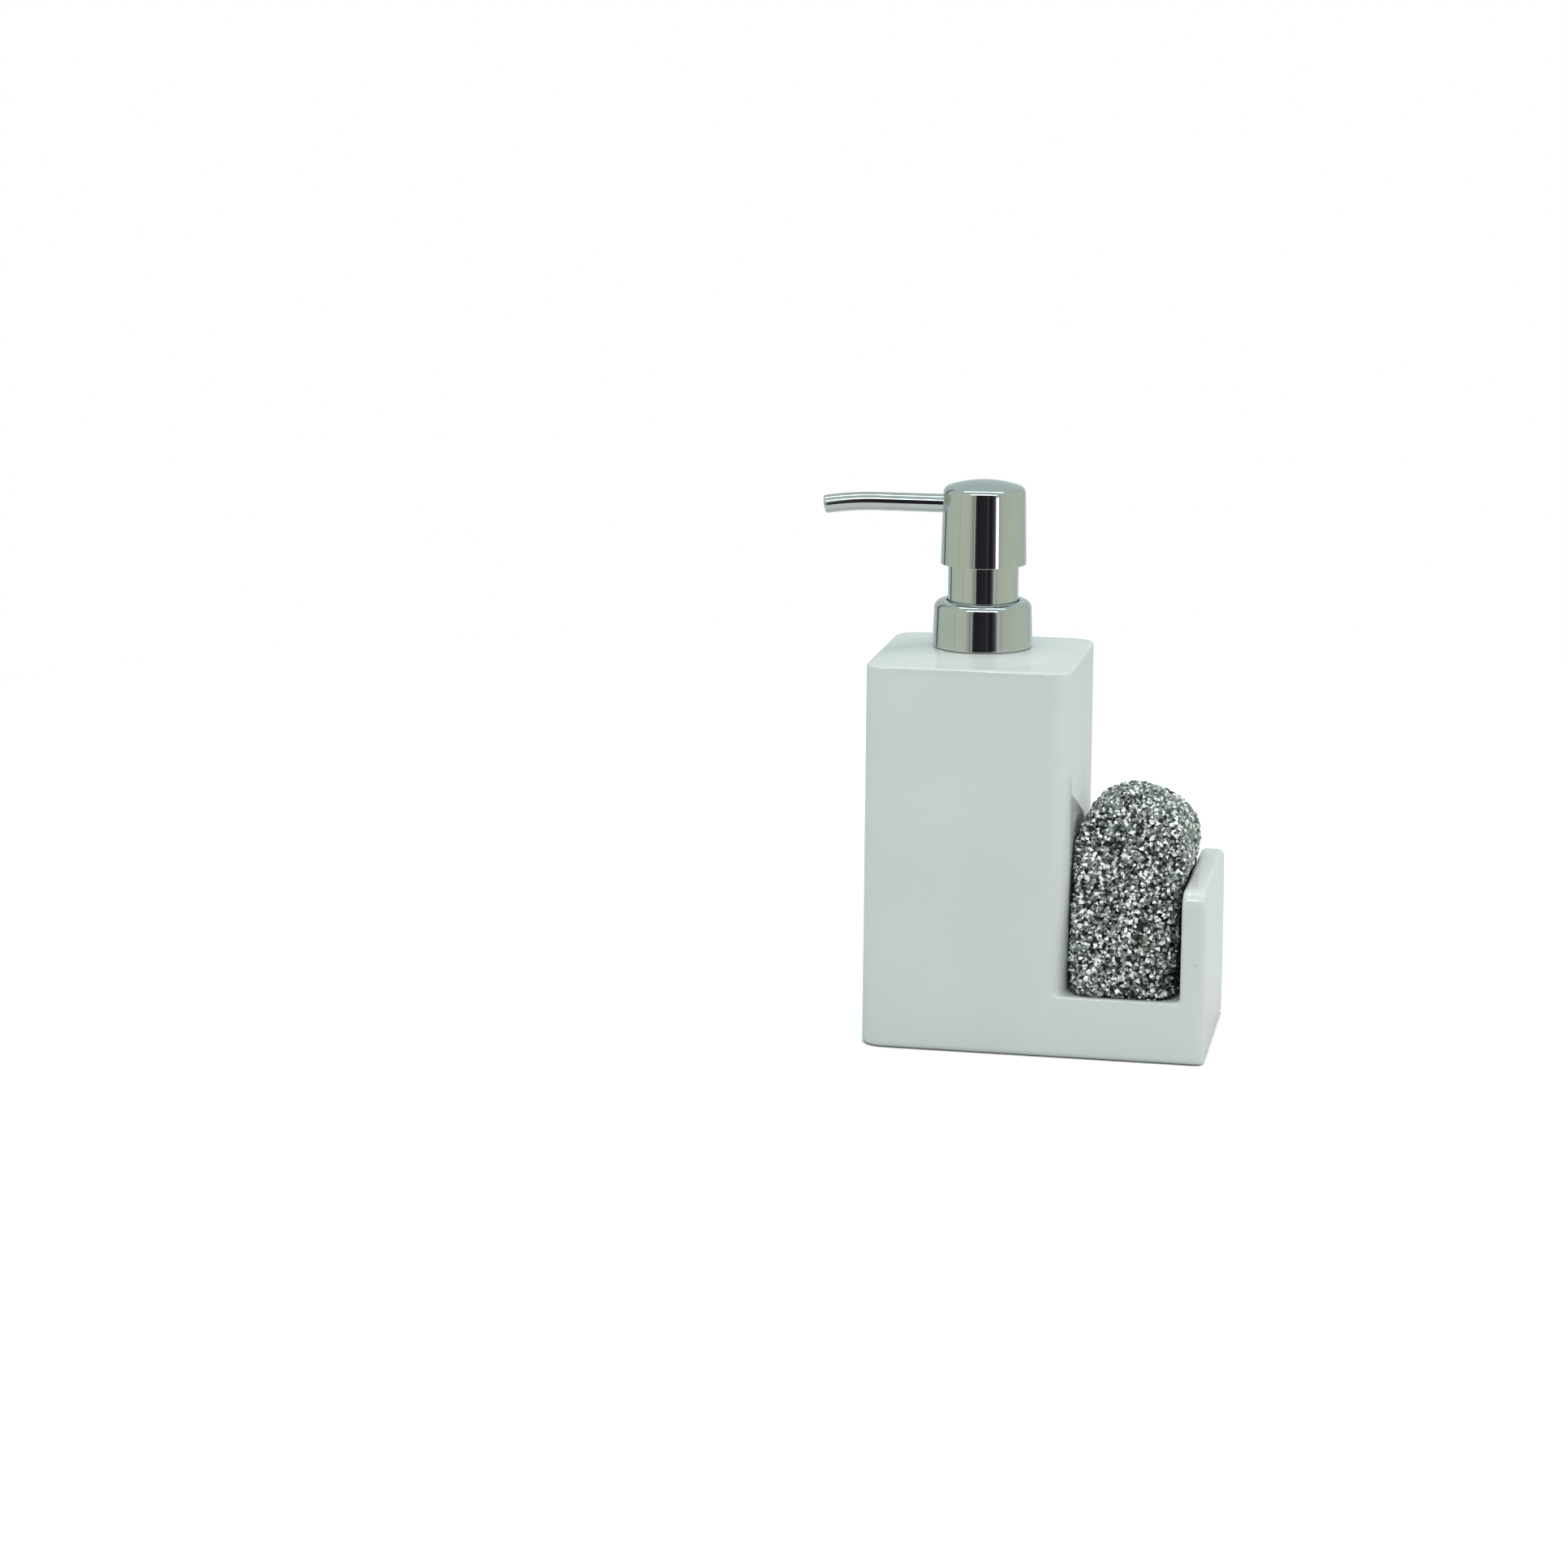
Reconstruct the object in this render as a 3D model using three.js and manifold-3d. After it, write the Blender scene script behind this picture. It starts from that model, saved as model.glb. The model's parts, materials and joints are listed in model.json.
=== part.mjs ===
// Ceramic soap dispenser with a sponge holder, a screw-on lotion pump and a knit-covered sponge.
// Millimetres, +Z up. The origin is the centre of the flat base and +X points to the sponge holder.

import * as THREE from 'three';
import { mergeVertices } from 'three/addons/utils/BufferGeometryUtils.js';
import Module from 'manifold-3d';

const wasm = await Module();
wasm.setup();

// Clearances: between fixed neighbours, between moving neighbours, and for glue in the ceramic
const fit = 0.15;
const run = 0.3;
const glue = 0.3;

// Ceramic body
const bodyLength = 117;
const bodyDepth = 72;
const towerWidth = 70.2;
const towerHeight = 131.1;
const topCrown = 1.7;
const trayHeight = 21.3;
const endWallThickness = 8.6;
const endWallHeight = 59.5;
const towerCornerRadius = 8;
const topEdgeRadius = 1.4;
const baseEdgeRadius = 3;
const trayEdgeRadius = 1.6;
const endWallCornerRadius = 5.5;
const endWallEdgeRadius = 2.6;
const slotFilletRadius = 3;
const ceramicWall = 5;
const baseWall = 5.5;
const topWall = 5.5;
const cavityEdgeRadius = 3;
const seatDepth = 1.1;

// Screw collar and the threaded neck under it
const collarRadius = 16.95;
const collarHeight = 16.4;
const collarWall = 1;
const collarEdgeRadius = 2.8;
const linerWall = 1.9;
const linerShoulder = 2;
const threadPitch = 4.2;
const threadDepth = 1;
const threadRootWidth = 2.5;
const threadCrestWidth = 1.4;
const threadEmbed = 0.6;
const neckWall = 2;
const neckLip = 0.9;
const neckFlangeThickness = 0.7;
const neckFlangeWidth = 1.2;
const plugStep = 1.4;
const plugLength = 7;
const gasketThickness = 1.2;
const gasketWidth = 1.8;

// Pump engine
const pumpTravel = 11;
const sleeveRadius = 11.9;
const sleeveWall = 0.7;
const sleeveOverlap = 4;
const collarHoleGap = 0.5;
const housingBoreRadius = 7.5;
const housingWall = 1;
const housingFlangeThickness = 1.6;
const flangeGrip = 1.1;
const chamberLength = 44;
const guideDisc = 2;
const guideRimHeight = 3.2;
const guideRimWall = 1.2;
const guideSpigotLength = 6;
const guideSpigotWall = 2;
const stemRadius = 3.6;
const stemBoreRadius = 1.9;
const stemFootWidth = 0.9;
const stemFootHeight = 1.8;
const stemSocketDepth = 12;
const pistonLength = 8;
const pistonWaistDepth = 1;
const pistonWaistLength = 4;
const ballRadius = 2.4;
const ballLift = 1.2;
const seatBoreRadius = 1.5;
const seatConeRadius = 3.2;
const seatConeDepth = 2.4;
const cageTop = 1.2;
const cageHoleRadius = 1.7;
const springWireRadius = 0.5;
const springRadius = 5.4;
const springTurns = 8;
const dipTubeRadius = 2.4;
const dipTubeWall = 0.8;
const dipTubeFloorGap = 3;
const tubeSocketWall = 1.1;
const tubeSocketLength = 10;

// Pump head and spout
const headClearance = 0.6;
const headRimRadius = 14.45;
const headTopRadius = 13.9;
const headSideHeight = 24.7;
const headShoulderRadius = 2.6;
const headShoulderSweep = 70;
const headDomeRise = 1.96;
const headWall = 1;
const spoutRadius = 3.1;
const spoutWall = 0.9;
const spoutHeightInHead = 20.8;
const spoutReach = 54.7;
const spoutStraight = 36;
const spoutBendRadius = 110;
const spoutRootDepth = 6;
const coreBossDrop = 1.4;
const coreBossRise = 0.8;
const coreHubWall = 1.9;
const hubClearance = 1;
const flowRadius = 1.8;
const ballChamberGap = 0.5;

// Sponge: a foam block in a knit cover, square at its foot, arched on top and swelling over the end wall
const spongeSideGap = 0.4;
const spongeEndGap = 1.8;
const spongeHeight = 65.9;
const spongeDepth = 68.6;
const spongeCornerRadius = 5;
const spongeFootRadius = 4;
const spongeSideRise = 48;
const spongeFrontRise = 15;
const spongeFrontCurve = 1.62;
const spongeRidgeDepth = 14;
const spongeSwell = 2.5;
const spongeSwellDrop = 5;
const coverThickness = 1.6;
const coverSlitLength = 24;
const coverSlitWidth = 1.5;

// Facet counts
const cornerSteps = 4;
const edgeSteps = 3;
const largeSides = 28;
const middleSides = 20;
const smallSides = 12;
const turnSteps = 20;
const springTurnSteps = 8;
const springSides = 5;

// Places that follow from the sizes above
const towerLeft = -bodyLength / 2;
const towerRight = towerLeft + towerWidth;
const bodyRight = bodyLength / 2;
const bodyFront = -bodyDepth / 2;
const endWallInner = bodyRight - endWallThickness;
const pumpX = towerLeft + towerWidth / 2;
const crownTop = towerHeight + topCrown;
const seatZ = crownTop - seatDepth;
const cavityTop = towerHeight - topWall;

const linerRadius = collarRadius - collarWall - fit;
const linerBore = linerRadius - linerWall;
const threadCrest = linerBore - run;
const neckRoot = threadCrest - threadDepth;
const neckBore = neckRoot - neckWall;
const plugRadius = neckRoot + plugStep;
const neckFlangeRadius = plugRadius + neckFlangeWidth;
const neckFlangeBottom = seatZ + fit;
const neckFlangeTop = neckFlangeBottom + neckFlangeThickness;

const collarBottom = neckFlangeTop + run;
const collarTop = collarBottom + collarHeight;
const linerTop = collarTop - collarWall - fit;
const shoulderBottom = linerTop - linerShoulder;
const flangeTop = shoulderBottom - run;
const flangeBottom = flangeTop - housingFlangeThickness;
const gasketTop = flangeBottom - fit;
const gasketBottom = gasketTop - gasketThickness;
const neckTop = gasketBottom - fit;
const collarHole = sleeveRadius + collarHoleGap;
const flangeRadius = collarHole + flangeGrip;
const threadStart = collarBottom + threadPitch / 2 + threadRootWidth / 2;
const threadEnd = neckTop - neckLip - threadRootWidth / 2;

const headBottom = collarTop + pumpTravel + headClearance;
const headShoulder = headBottom + headSideHeight;
const sleeveBottom = flangeTop + fit;
const sleeveTop = headBottom + sleeveOverlap;
const sleeveBore = sleeveRadius - sleeveWall;
const guideBore = stemRadius + run;
const guideTop = sleeveBottom + guideDisc;
const spigotBottom = sleeveBottom - guideSpigotLength;
const chamberFloor = flangeBottom - chamberLength;
const housingRadius = housingBoreRadius + housingWall;
const tubeSocketTop = chamberFloor - seatConeDepth - tubeSocketWall;
const tubeSocketBottom = tubeSocketTop - tubeSocketLength;
const tubeSocketRadius = dipTubeRadius + fit;

const pistonTop = spigotBottom - run;
const pistonBottom = pistonTop - pistonLength;
const pistonRadius = housingBoreRadius - fit;
const stemBottom = pistonBottom - fit - stemFootHeight;
const hubBottom = guideTop + pumpTravel + hubClearance;
const stemTop = hubBottom + stemSocketDepth;
const spoutZ = headBottom + spoutHeightInHead;

// A ball seated on a cone or on a bore's edge lies one fixed clearance off it
const coneSlope = Math.atan2(seatConeRadius - seatBoreRadius, seatConeDepth);
const coneApex = chamberFloor - seatConeDepth - seatBoreRadius / Math.tan(coneSlope);
const inletBallZ = coneApex + (ballRadius + fit) / Math.sin(coneSlope);
const outletBallZ = stemTop + Math.sqrt((ballRadius + fit) ** 2 - stemBoreRadius ** 2);
const cageBottom = chamberFloor + fit;
const cageRoof = inletBallZ + ballRadius + ballLift + run;
const cageHeight = cageRoof + cageTop;
const ballChamberTop = outletBallZ + ballRadius + ballLift + run;
const ballChamberRadius = ballRadius + ballChamberGap;

const spongeBottom = trayHeight + run;
const spongeTop = spongeBottom + spongeHeight;
const spongeLeft = towerRight + spongeSideGap;
const spongeRight = endWallInner - spongeEndGap;
const spongeRidge = (spongeLeft + spongeRight) / 2;
const spongeSideStart = spongeBottom + spongeSideRise;

// A closed mesh with shared corners, as a solid that can be joined and cut
function toSolid(geometry) {
  const bare = geometry.clone();
  bare.deleteAttribute('normal');
  bare.deleteAttribute('uv');
  const merged = mergeVertices(bare, 1e-4);
  const corners = Array.from(merged.index.array);
  const triangles = [];
  for (let start = 0; start < corners.length; start += 3) {
    const [a, b, c] = corners.slice(start, start + 3);
    if (a !== b && b !== c && c !== a) triangles.push(a, b, c);
  }
  return new wasm.Manifold(new wasm.Mesh({
    numProp: 3,
    vertProperties: new Float32Array(merged.attributes.position.array),
    triVerts: new Uint32Array(triangles),
  }));
}

function toGeometry(solid) {
  const mesh = solid.getMesh();
  const geometry = new THREE.BufferGeometry();
  geometry.setAttribute('position', new THREE.BufferAttribute(mesh.vertProperties, 3));
  geometry.setIndex(new THREE.BufferAttribute(mesh.triVerts, 1));
  geometry.computeVertexNormals();
  return geometry;
}

// A closed body through rings of equally many points, each ring seen counter-clockwise from the last
function loft(rings) {
  const count = rings[0].length;
  const positions = rings.flat().flatMap((point) => [point.x, point.y, point.z]);
  const index = [];
  for (let level = 0; level < rings.length - 1; level += 1) {
    for (let corner = 0; corner < count; corner += 1) {
      const a = level * count + corner;
      const b = level * count + ((corner + 1) % count);
      index.push(a, b, b + count, a, b + count, a + count);
    }
  }
  const last = (rings.length - 1) * count;
  for (let corner = 1; corner < count - 1; corner += 1) {
    index.push(0, corner + 1, corner);
    index.push(last, last + corner, last + corner + 1);
  }
  const geometry = new THREE.BufferGeometry();
  geometry.setAttribute('position', new THREE.Float32BufferAttribute(positions, 3));
  geometry.setIndex(index);
  geometry.computeVertexNormals();
  return geometry;
}

// A body turned about Z from a closed outline of [radius, z] points, listed upwards on the outside
function turned(outline, sides) {
  const points = [...outline, outline[0]].map(([radius, z]) => new THREE.Vector2(radius, z));
  const geometry = new THREE.LatheGeometry(points, sides);
  geometry.rotateX(Math.PI / 2);
  return geometry;
}

// A rod of one radius along X or Z, used for bores and holes
function rod(radius, length, sides, alongX = false) {
  const geometry = new THREE.CylinderGeometry(radius, radius, length, sides);
  if (alongX) geometry.rotateZ(Math.PI / 2);
  else geometry.rotateX(Math.PI / 2);
  return geometry;
}

// A rectangle with a radius at each corner, counter-clockwise from the upper right corner
function roundedOutline(left, right, bottom, top, radii) {
  const corners = [[right, top], [left, top], [left, bottom], [right, bottom]];
  const points = [];
  corners.forEach(([cornerX, cornerY], quarter) => {
    const radius = radii[quarter];
    const centreX = cornerX - radius * Math.sign(cornerX - (left + right) / 2);
    const centreY = cornerY - radius * Math.sign(cornerY - (bottom + top) / 2);
    for (let step = 0; step <= cornerSteps; step += 1) {
      const angle = (quarter + step / cornerSteps) * Math.PI / 2;
      const x = centreX + radius * Math.cos(angle);
      const y = centreY + radius * Math.sin(angle);
      points.push(new THREE.Vector2(x, y));
    }
  });
  return points;
}

// A level plan of the tower, drawn in from its full size
function towerRing(inset, z, radius = towerCornerRadius) {
  const corner = Math.max(radius - inset, 0.5);
  const plan = roundedOutline(
    towerLeft + inset, towerRight - inset, bodyFront + inset, -bodyFront - inset,
    [corner, corner, corner, corner],
  );
  return plan.map((point) => new THREE.Vector3(point.x, point.y, z));
}

// The steps of a quarter-round edge: how far each is drawn in and how far it has risen
function edgeRound(radius) {
  const steps = [];
  for (let step = 0; step <= edgeSteps; step += 1) {
    const angle = (step / edgeSteps) * Math.PI / 2;
    steps.push({ inset: radius * (1 - Math.sin(angle)), rise: radius * (1 - Math.cos(angle)) });
  }
  return steps;
}

// Tower with a rounded foot, a rounded top edge and a crowned top
function towerSolid() {
  const rings = edgeRound(baseEdgeRadius).map(({ inset, rise }) => towerRing(inset, rise));
  const top = edgeRound(topEdgeRadius).reverse();
  top.forEach(({ inset, rise }) => rings.push(towerRing(inset, towerHeight - rise)));
  const rim = rings[rings.length - 1];
  for (const share of [0.8, 0.6, 0.4]) {
    const z = towerHeight + topCrown * (1 - share * share);
    rings.push(rim.map((point) => new THREE.Vector3(pumpX + (point.x - pumpX) * share, point.y * share, z)));
  }
  return toSolid(loft(rings));
}

// Low tray between tower and end wall, flush with both at the front and back
function traySolid() {
  const radii = [trayEdgeRadius, trayEdgeRadius, baseEdgeRadius, baseEdgeRadius];
  const section = roundedOutline(bodyFront, -bodyFront, 0, trayHeight, radii);
  const ends = [pumpX, bodyRight - endWallThickness / 2];
  return toSolid(loft(ends.map((x) => section.map((point) => new THREE.Vector3(x, point.x, point.y)))));
}

// Upright end wall with large top corners and softened edges
function endWallSolid() {
  const ringAt = (inset, x) => {
    const topCorner = Math.max(endWallCornerRadius - inset, 0.4);
    const footCorner = Math.max(baseEdgeRadius - inset, 0.4);
    const outline = roundedOutline(
      bodyFront + inset, -bodyFront - inset, inset, endWallHeight - inset,
      [topCorner, topCorner, footCorner, footCorner],
    );
    return outline.map((point) => new THREE.Vector3(x, point.x, point.y));
  };
  const edge = edgeRound(endWallEdgeRadius);
  const inner = edge.map(({ inset, rise }) => ringAt(inset, endWallInner + rise));
  const outer = edge.reverse().map(({ inset, rise }) => ringAt(inset, bodyRight - rise));
  return toSolid(loft([...inner, ...outer]));
}

// Hollow fillet strip in a corner of the slot, with the corner at x and the strip on one side of it
function slotFillet(x, side) {
  const shape = new THREE.Shape();
  shape.moveTo(-side, -1);
  shape.lineTo(side * slotFilletRadius, -1);
  shape.lineTo(side * slotFilletRadius, 0);
  for (let step = 1; step < edgeSteps; step += 1) {
    const angle = (step / edgeSteps) * Math.PI / 2;
    const away = slotFilletRadius * (1 - Math.sin(angle));
    shape.lineTo(side * away, slotFilletRadius * (1 - Math.cos(angle)));
  }
  shape.lineTo(0, slotFilletRadius);
  shape.lineTo(-side, slotFilletRadius);
  const length = bodyDepth - 2 * towerCornerRadius;
  const strip = new THREE.ExtrudeGeometry(shape, { depth: length, bevelEnabled: false });
  strip.rotateX(Math.PI / 2);
  strip.translate(x, length / 2, trayHeight);
  return toSolid(strip);
}

// Soap space: it fills the tower and runs on under the tray
function reservoirSolid() {
  const foot = edgeRound(cavityEdgeRadius).map(({ inset, rise }) => towerRing(ceramicWall + inset, baseWall + rise));
  const roof = edgeRound(cavityEdgeRadius).reverse();
  const rings = [...foot, ...roof.map(({ inset, rise }) => towerRing(ceramicWall + inset, cavityTop - rise))];
  const width = bodyRight - ceramicWall - pumpX;
  const depth = bodyDepth - 2 * ceramicWall;
  const height = trayHeight - ceramicWall - baseWall;
  const under = new THREE.BoxGeometry(width, depth - 2 * cavityEdgeRadius, height);
  under.translate(pumpX + width / 2, 0, baseWall + height / 2);
  return toSolid(loft(rings)).add(toSolid(under));
}

function ceramicBody() {
  const holeLength = seatZ - cavityTop + cavityEdgeRadius;
  const hole = rod(plugRadius + glue, holeLength, largeSides);
  hole.translate(pumpX, 0, seatZ - holeLength / 2 + fit);
  const spotFace = rod(neckFlangeRadius + glue, 2 * seatDepth, largeSides);
  spotFace.translate(pumpX, 0, seatZ + seatDepth);
  const outside = towerSolid().add(traySolid()).add(endWallSolid())
    .add(slotFillet(towerRight, 1)).add(slotFillet(endWallInner, -1));
  return toGeometry(outside.subtract(reservoirSolid()).subtract(toSolid(hole)).subtract(toSolid(spotFace)));
}

// One screw ridge from a buried radius to a crest radius, climbing from one height to another
function ridge(buried, root, crest, from, to) {
  const turns = (to - from) / threadPitch;
  const steps = Math.ceil(turns * turnSteps);
  const rings = [];
  for (let step = 0; step <= steps; step += 1) {
    const angle = (step / steps) * turns * 2 * Math.PI;
    const z = from + (to - from) * (step / steps);
    const section = [
      [buried, -threadRootWidth / 2], [root, -threadRootWidth / 2], [crest, -threadCrestWidth / 2],
      [crest, threadCrestWidth / 2], [root, threadRootWidth / 2], [buried, threadRootWidth / 2],
    ];
    if (crest > buried) section.reverse();
    rings.push(section.map(([radius, lift]) => (
      new THREE.Vector3(radius * Math.cos(angle), radius * Math.sin(angle), z + lift)
    )));
  }
  return toSolid(loft(rings));
}

// Threaded neck, glued into the ceramic
function neckInsert() {
  const tube = turned([
    [neckBore, seatZ - plugLength], [plugRadius, seatZ - plugLength], [plugRadius, neckFlangeBottom],
    [neckFlangeRadius, neckFlangeBottom], [neckFlangeRadius, neckFlangeTop], [neckRoot, neckFlangeTop],
    [neckRoot, neckTop], [neckBore, neckTop],
  ], largeSides);
  const thread = ridge(neckRoot - threadEmbed, neckRoot, threadCrest, threadStart, threadEnd);
  return toGeometry(toSolid(tube).add(thread));
}

function neckGasket() {
  const inner = neckRoot - fit - gasketWidth;
  const outer = neckRoot - fit;
  return turned([
    [inner, gasketBottom], [outer, gasketBottom], [outer, gasketTop], [inner, gasketTop],
  ], middleSides);
}

// Bright outer cap of the collar, open below, with a hole for the guide sleeve
function collarShell() {
  const bore = collarRadius - collarWall;
  const edge = edgeRound(collarEdgeRadius).reverse();
  const rounded = edge.map(({ inset, rise }) => [collarRadius - inset, collarTop - rise]);
  return turned([
    [bore, collarBottom], [collarRadius, collarBottom], ...rounded,
    [collarHole, collarTop], [collarHole, collarTop - collarWall], [bore - collarEdgeRadius + collarWall,
      collarTop - collarWall], [bore, collarTop - collarEdgeRadius],
  ], largeSides);
}

// Plastic liner of the collar: its ridge runs half a pitch under the neck's, its shoulder holds the pump
function collarLiner() {
  const chamfer = collarEdgeRadius - collarWall + fit;
  const tube = turned([
    [linerBore, collarBottom + fit], [linerRadius, collarBottom + fit], [linerRadius, linerTop - chamfer],
    [linerRadius - chamfer, linerTop], [collarHole, linerTop], [collarHole, shoulderBottom],
    [linerBore, shoulderBottom],
  ], largeSides);
  const drop = threadPitch / 2;
  const from = threadStart - drop + fit;
  const thread = ridge(linerBore + threadEmbed, linerBore, neckRoot + run, from, threadEnd - drop + fit);
  return toGeometry(toSolid(tube).add(thread));
}

function guideSleeve() {
  return turned([
    [sleeveBore, sleeveBottom], [sleeveRadius, sleeveBottom], [sleeveRadius, sleeveTop], [sleeveBore, sleeveTop],
  ], largeSides);
}

// Guide for the stem: a spigot in the chamber, a disc on its flange and a rim that holds the sleeve
function stemGuide() {
  const rim = sleeveBore - fit;
  const spigot = housingBoreRadius - fit;
  return turned([
    [guideBore, sleeveBottom], [spigot - guideSpigotWall, sleeveBottom], [spigot - guideSpigotWall, spigotBottom],
    [spigot, spigotBottom], [spigot, sleeveBottom], [rim, sleeveBottom], [rim, guideTop + guideRimHeight],
    [rim - guideRimWall, guideTop + guideRimHeight], [rim - guideRimWall, guideTop], [guideBore, guideTop],
  ], middleSides);
}

// Pump chamber with its flange, the seat of the inlet ball and the socket of the dip tube
function pumpHousing() {
  const socketOuter = tubeSocketRadius + tubeSocketWall;
  return turned([
    [tubeSocketRadius, tubeSocketBottom], [socketOuter, tubeSocketBottom], [socketOuter, tubeSocketTop],
    [housingRadius, chamberFloor - housingWall], [housingRadius, flangeBottom], [flangeRadius, flangeBottom],
    [flangeRadius, flangeTop], [housingBoreRadius, flangeTop], [housingBoreRadius, chamberFloor],
    [seatConeRadius, chamberFloor], [seatBoreRadius, chamberFloor - seatConeDepth],
    [seatBoreRadius, tubeSocketTop], [tubeSocketRadius, tubeSocketTop],
  ], middleSides);
}

// Cage that keeps the inlet ball over its seat and carries the spring
function valveCage() {
  const outer = housingBoreRadius - fit;
  const bore = ballRadius + ballChamberGap;
  return turned([
    [bore, cageBottom], [outer, cageBottom], [outer, cageHeight], [cageHoleRadius, cageHeight],
    [cageHoleRadius, cageRoof], [bore, cageRoof],
  ], middleSides);
}

function ball(z) {
  const geometry = new THREE.SphereGeometry(ballRadius, smallSides, smallSides / 2);
  geometry.translate(0, 0, z);
  return geometry;
}

// Least clear distance between a wire's turns, on points at least half a turn apart
function leastGap(points, wireRadius, halfTurn) {
  let least = Infinity;
  points.forEach((point, first) => {
    for (let second = first + halfTurn; second < points.length; second += 1) {
      least = Math.min(least, point.distanceTo(points[second]) - 2 * wireRadius);
    }
  });
  return least;
}

// Return spring between the cage and the piston
function returnSpring() {
  const from = cageHeight + fit + springWireRadius;
  const to = pistonBottom - fit - springWireRadius;
  const steps = springTurns * springTurnSteps;
  const centres = [];
  const rings = [];
  for (let step = 0; step <= steps; step += 1) {
    const angle = (step / springTurnSteps) * 2 * Math.PI;
    const outward = new THREE.Vector3(Math.cos(angle), Math.sin(angle), 0);
    const centre = outward.clone().multiplyScalar(springRadius).setZ(from + (to - from) * (step / steps));
    centres.push(centre);
    const ring = [];
    for (let side = 0; side < springSides; side += 1) {
      const round = -(side / springSides) * 2 * Math.PI;
      const point = centre.clone().addScaledVector(outward, springWireRadius * Math.cos(round));
      point.z += springWireRadius * Math.sin(round);
      ring.push(point);
    }
    rings.push(ring);
  }
  const gap = leastGap(centres, springWireRadius, springTurnSteps / 2);
  console.log(`return spring: least gap between turns ${gap.toFixed(2)} mm`);
  return loft(rings);
}

// Piston with two lips and a waist
function pistonSeal() {
  const bore = stemRadius + fit;
  const lip = (pistonLength - pistonWaistLength) / 2;
  const waist = pistonRadius - pistonWaistDepth;
  return turned([
    [bore, pistonBottom], [pistonRadius, pistonBottom], [waist, pistonBottom + lip], [waist, pistonTop - lip],
    [pistonRadius, pistonTop], [bore, pistonTop],
  ], middleSides);
}

// Hollow stem with a foot under the piston and the outlet ball's seat at its top
function pistonStem() {
  const foot = stemRadius + stemFootWidth;
  return turned([
    [stemBoreRadius, stemBottom], [foot, stemBottom], [foot, stemBottom + stemFootHeight],
    [stemRadius, stemBottom + stemFootHeight], [stemRadius, stemTop], [stemBoreRadius, stemTop],
  ], smallSides);
}

function dipTube() {
  const top = tubeSocketTop - fit;
  const bottom = baseWall + dipTubeFloorGap;
  const bore = dipTubeRadius - dipTubeWall;
  return turned([
    [bore, bottom], [dipTubeRadius, bottom], [dipTubeRadius, top], [bore, top],
  ], smallSides);
}

// Radius of the head's side at a height, on its slight draft
function headRadiusAt(z) {
  return headRimRadius + (headTopRadius - headRimRadius) * (z - headBottom) / headSideHeight;
}

// Inner part of the head: a hub on the stem, the outlet ball's chamber and a boss for the spout
function actuatorCore() {
  const socket = stemRadius + fit;
  const hub = socket + coreHubWall;
  const bossBottom = spoutZ - spoutRadius - coreBossDrop;
  const bossTop = spoutZ + spoutRadius + coreBossRise;
  const boss = headRadiusAt(headShoulder) - headWall - fit;
  const body = turned([
    [socket, hubBottom], [hub, hubBottom], [hub, bossBottom], [boss, bossBottom], [boss, bossTop],
    [flowRadius, bossTop - coreBossRise], [flowRadius, ballChamberTop], [ballChamberRadius, ballChamberTop],
    [ballChamberRadius, stemTop + fit], [socket, stemTop + fit],
  ], middleSides);
  const cap = rod(flowRadius + coreHubWall, coreBossRise, middleSides);
  cap.translate(0, 0, bossTop - coreBossRise / 2);
  const channel = rod(flowRadius, boss, smallSides, true);
  channel.translate(-boss / 2, 0, spoutZ);
  const socketLength = 2 * boss;
  const spoutSocket = rod(spoutRadius + fit, socketLength, smallSides, true);
  spoutSocket.translate(-spoutRootDepth + fit - socketLength / 2, 0, spoutZ);
  return toGeometry(toSolid(body).add(toSolid(cap)).subtract(toSolid(channel)).subtract(toSolid(spoutSocket)));
}

// Half outline of the head from its rim to its crown, drawn in by a wall
function headOutline(wall) {
  const points = [[headRimRadius - wall, headBottom], [headTopRadius - wall, headShoulder]];
  const centre = headTopRadius - headShoulderRadius;
  const radius = headShoulderRadius - wall;
  const sweep = THREE.MathUtils.degToRad(headShoulderSweep);
  for (let step = 1; step <= edgeSteps; step += 1) {
    const angle = sweep * (step / edgeSteps);
    points.push([centre + radius * Math.cos(angle), headShoulder + radius * Math.sin(angle)]);
  }
  const [edge, edgeZ] = points[points.length - 1];
  for (const share of [0.6, 0.3]) points.push([edge * share, edgeZ + headDomeRise * (1 - share * share)]);
  points.push([0, edgeZ + headDomeRise]);
  return points;
}

// Bright outer shell of the head, open below, with a hole for the spout
function actuatorShell() {
  const outline = [...headOutline(0), ...headOutline(headWall).reverse()];
  const shell = turned(outline, largeSides);
  const hole = rod(spoutRadius + run, headRimRadius, smallSides, true);
  hole.translate(-headRimRadius, 0, spoutZ);
  return toGeometry(toSolid(shell).subtract(toSolid(hole)));
}

// Centre line of the spout: straight out of the head, then a slow bend downwards
class SpoutLine extends THREE.Curve {
  getPoint(share, target = new THREE.Vector3()) {
    const along = spoutRootDepth + (spoutReach - spoutRootDepth) * share;
    const bent = Math.max(along - spoutStraight, 0) / spoutBendRadius;
    const out = Math.min(along, spoutStraight) + spoutBendRadius * Math.sin(bent);
    return target.set(-out, 0, spoutZ - spoutBendRadius * (1 - Math.cos(bent)));
  }
}

function spoutTube() {
  const section = new THREE.Shape().absarc(0, 0, spoutRadius, 0, 2 * Math.PI);
  section.holes.push(new THREE.Path().absarc(0, 0, spoutRadius - spoutWall, 0, 2 * Math.PI, true));
  return new THREE.ExtrudeGeometry(section, {
    extrudePath: new SpoutLine(), steps: 10, curveSegments: smallSides / 2, bevelEnabled: false,
  });
}

// Share of the way from one height to another, eased at both ends
function eased(z, from, to) {
  return THREE.MathUtils.smoothstep(z, from, to);
}

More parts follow.
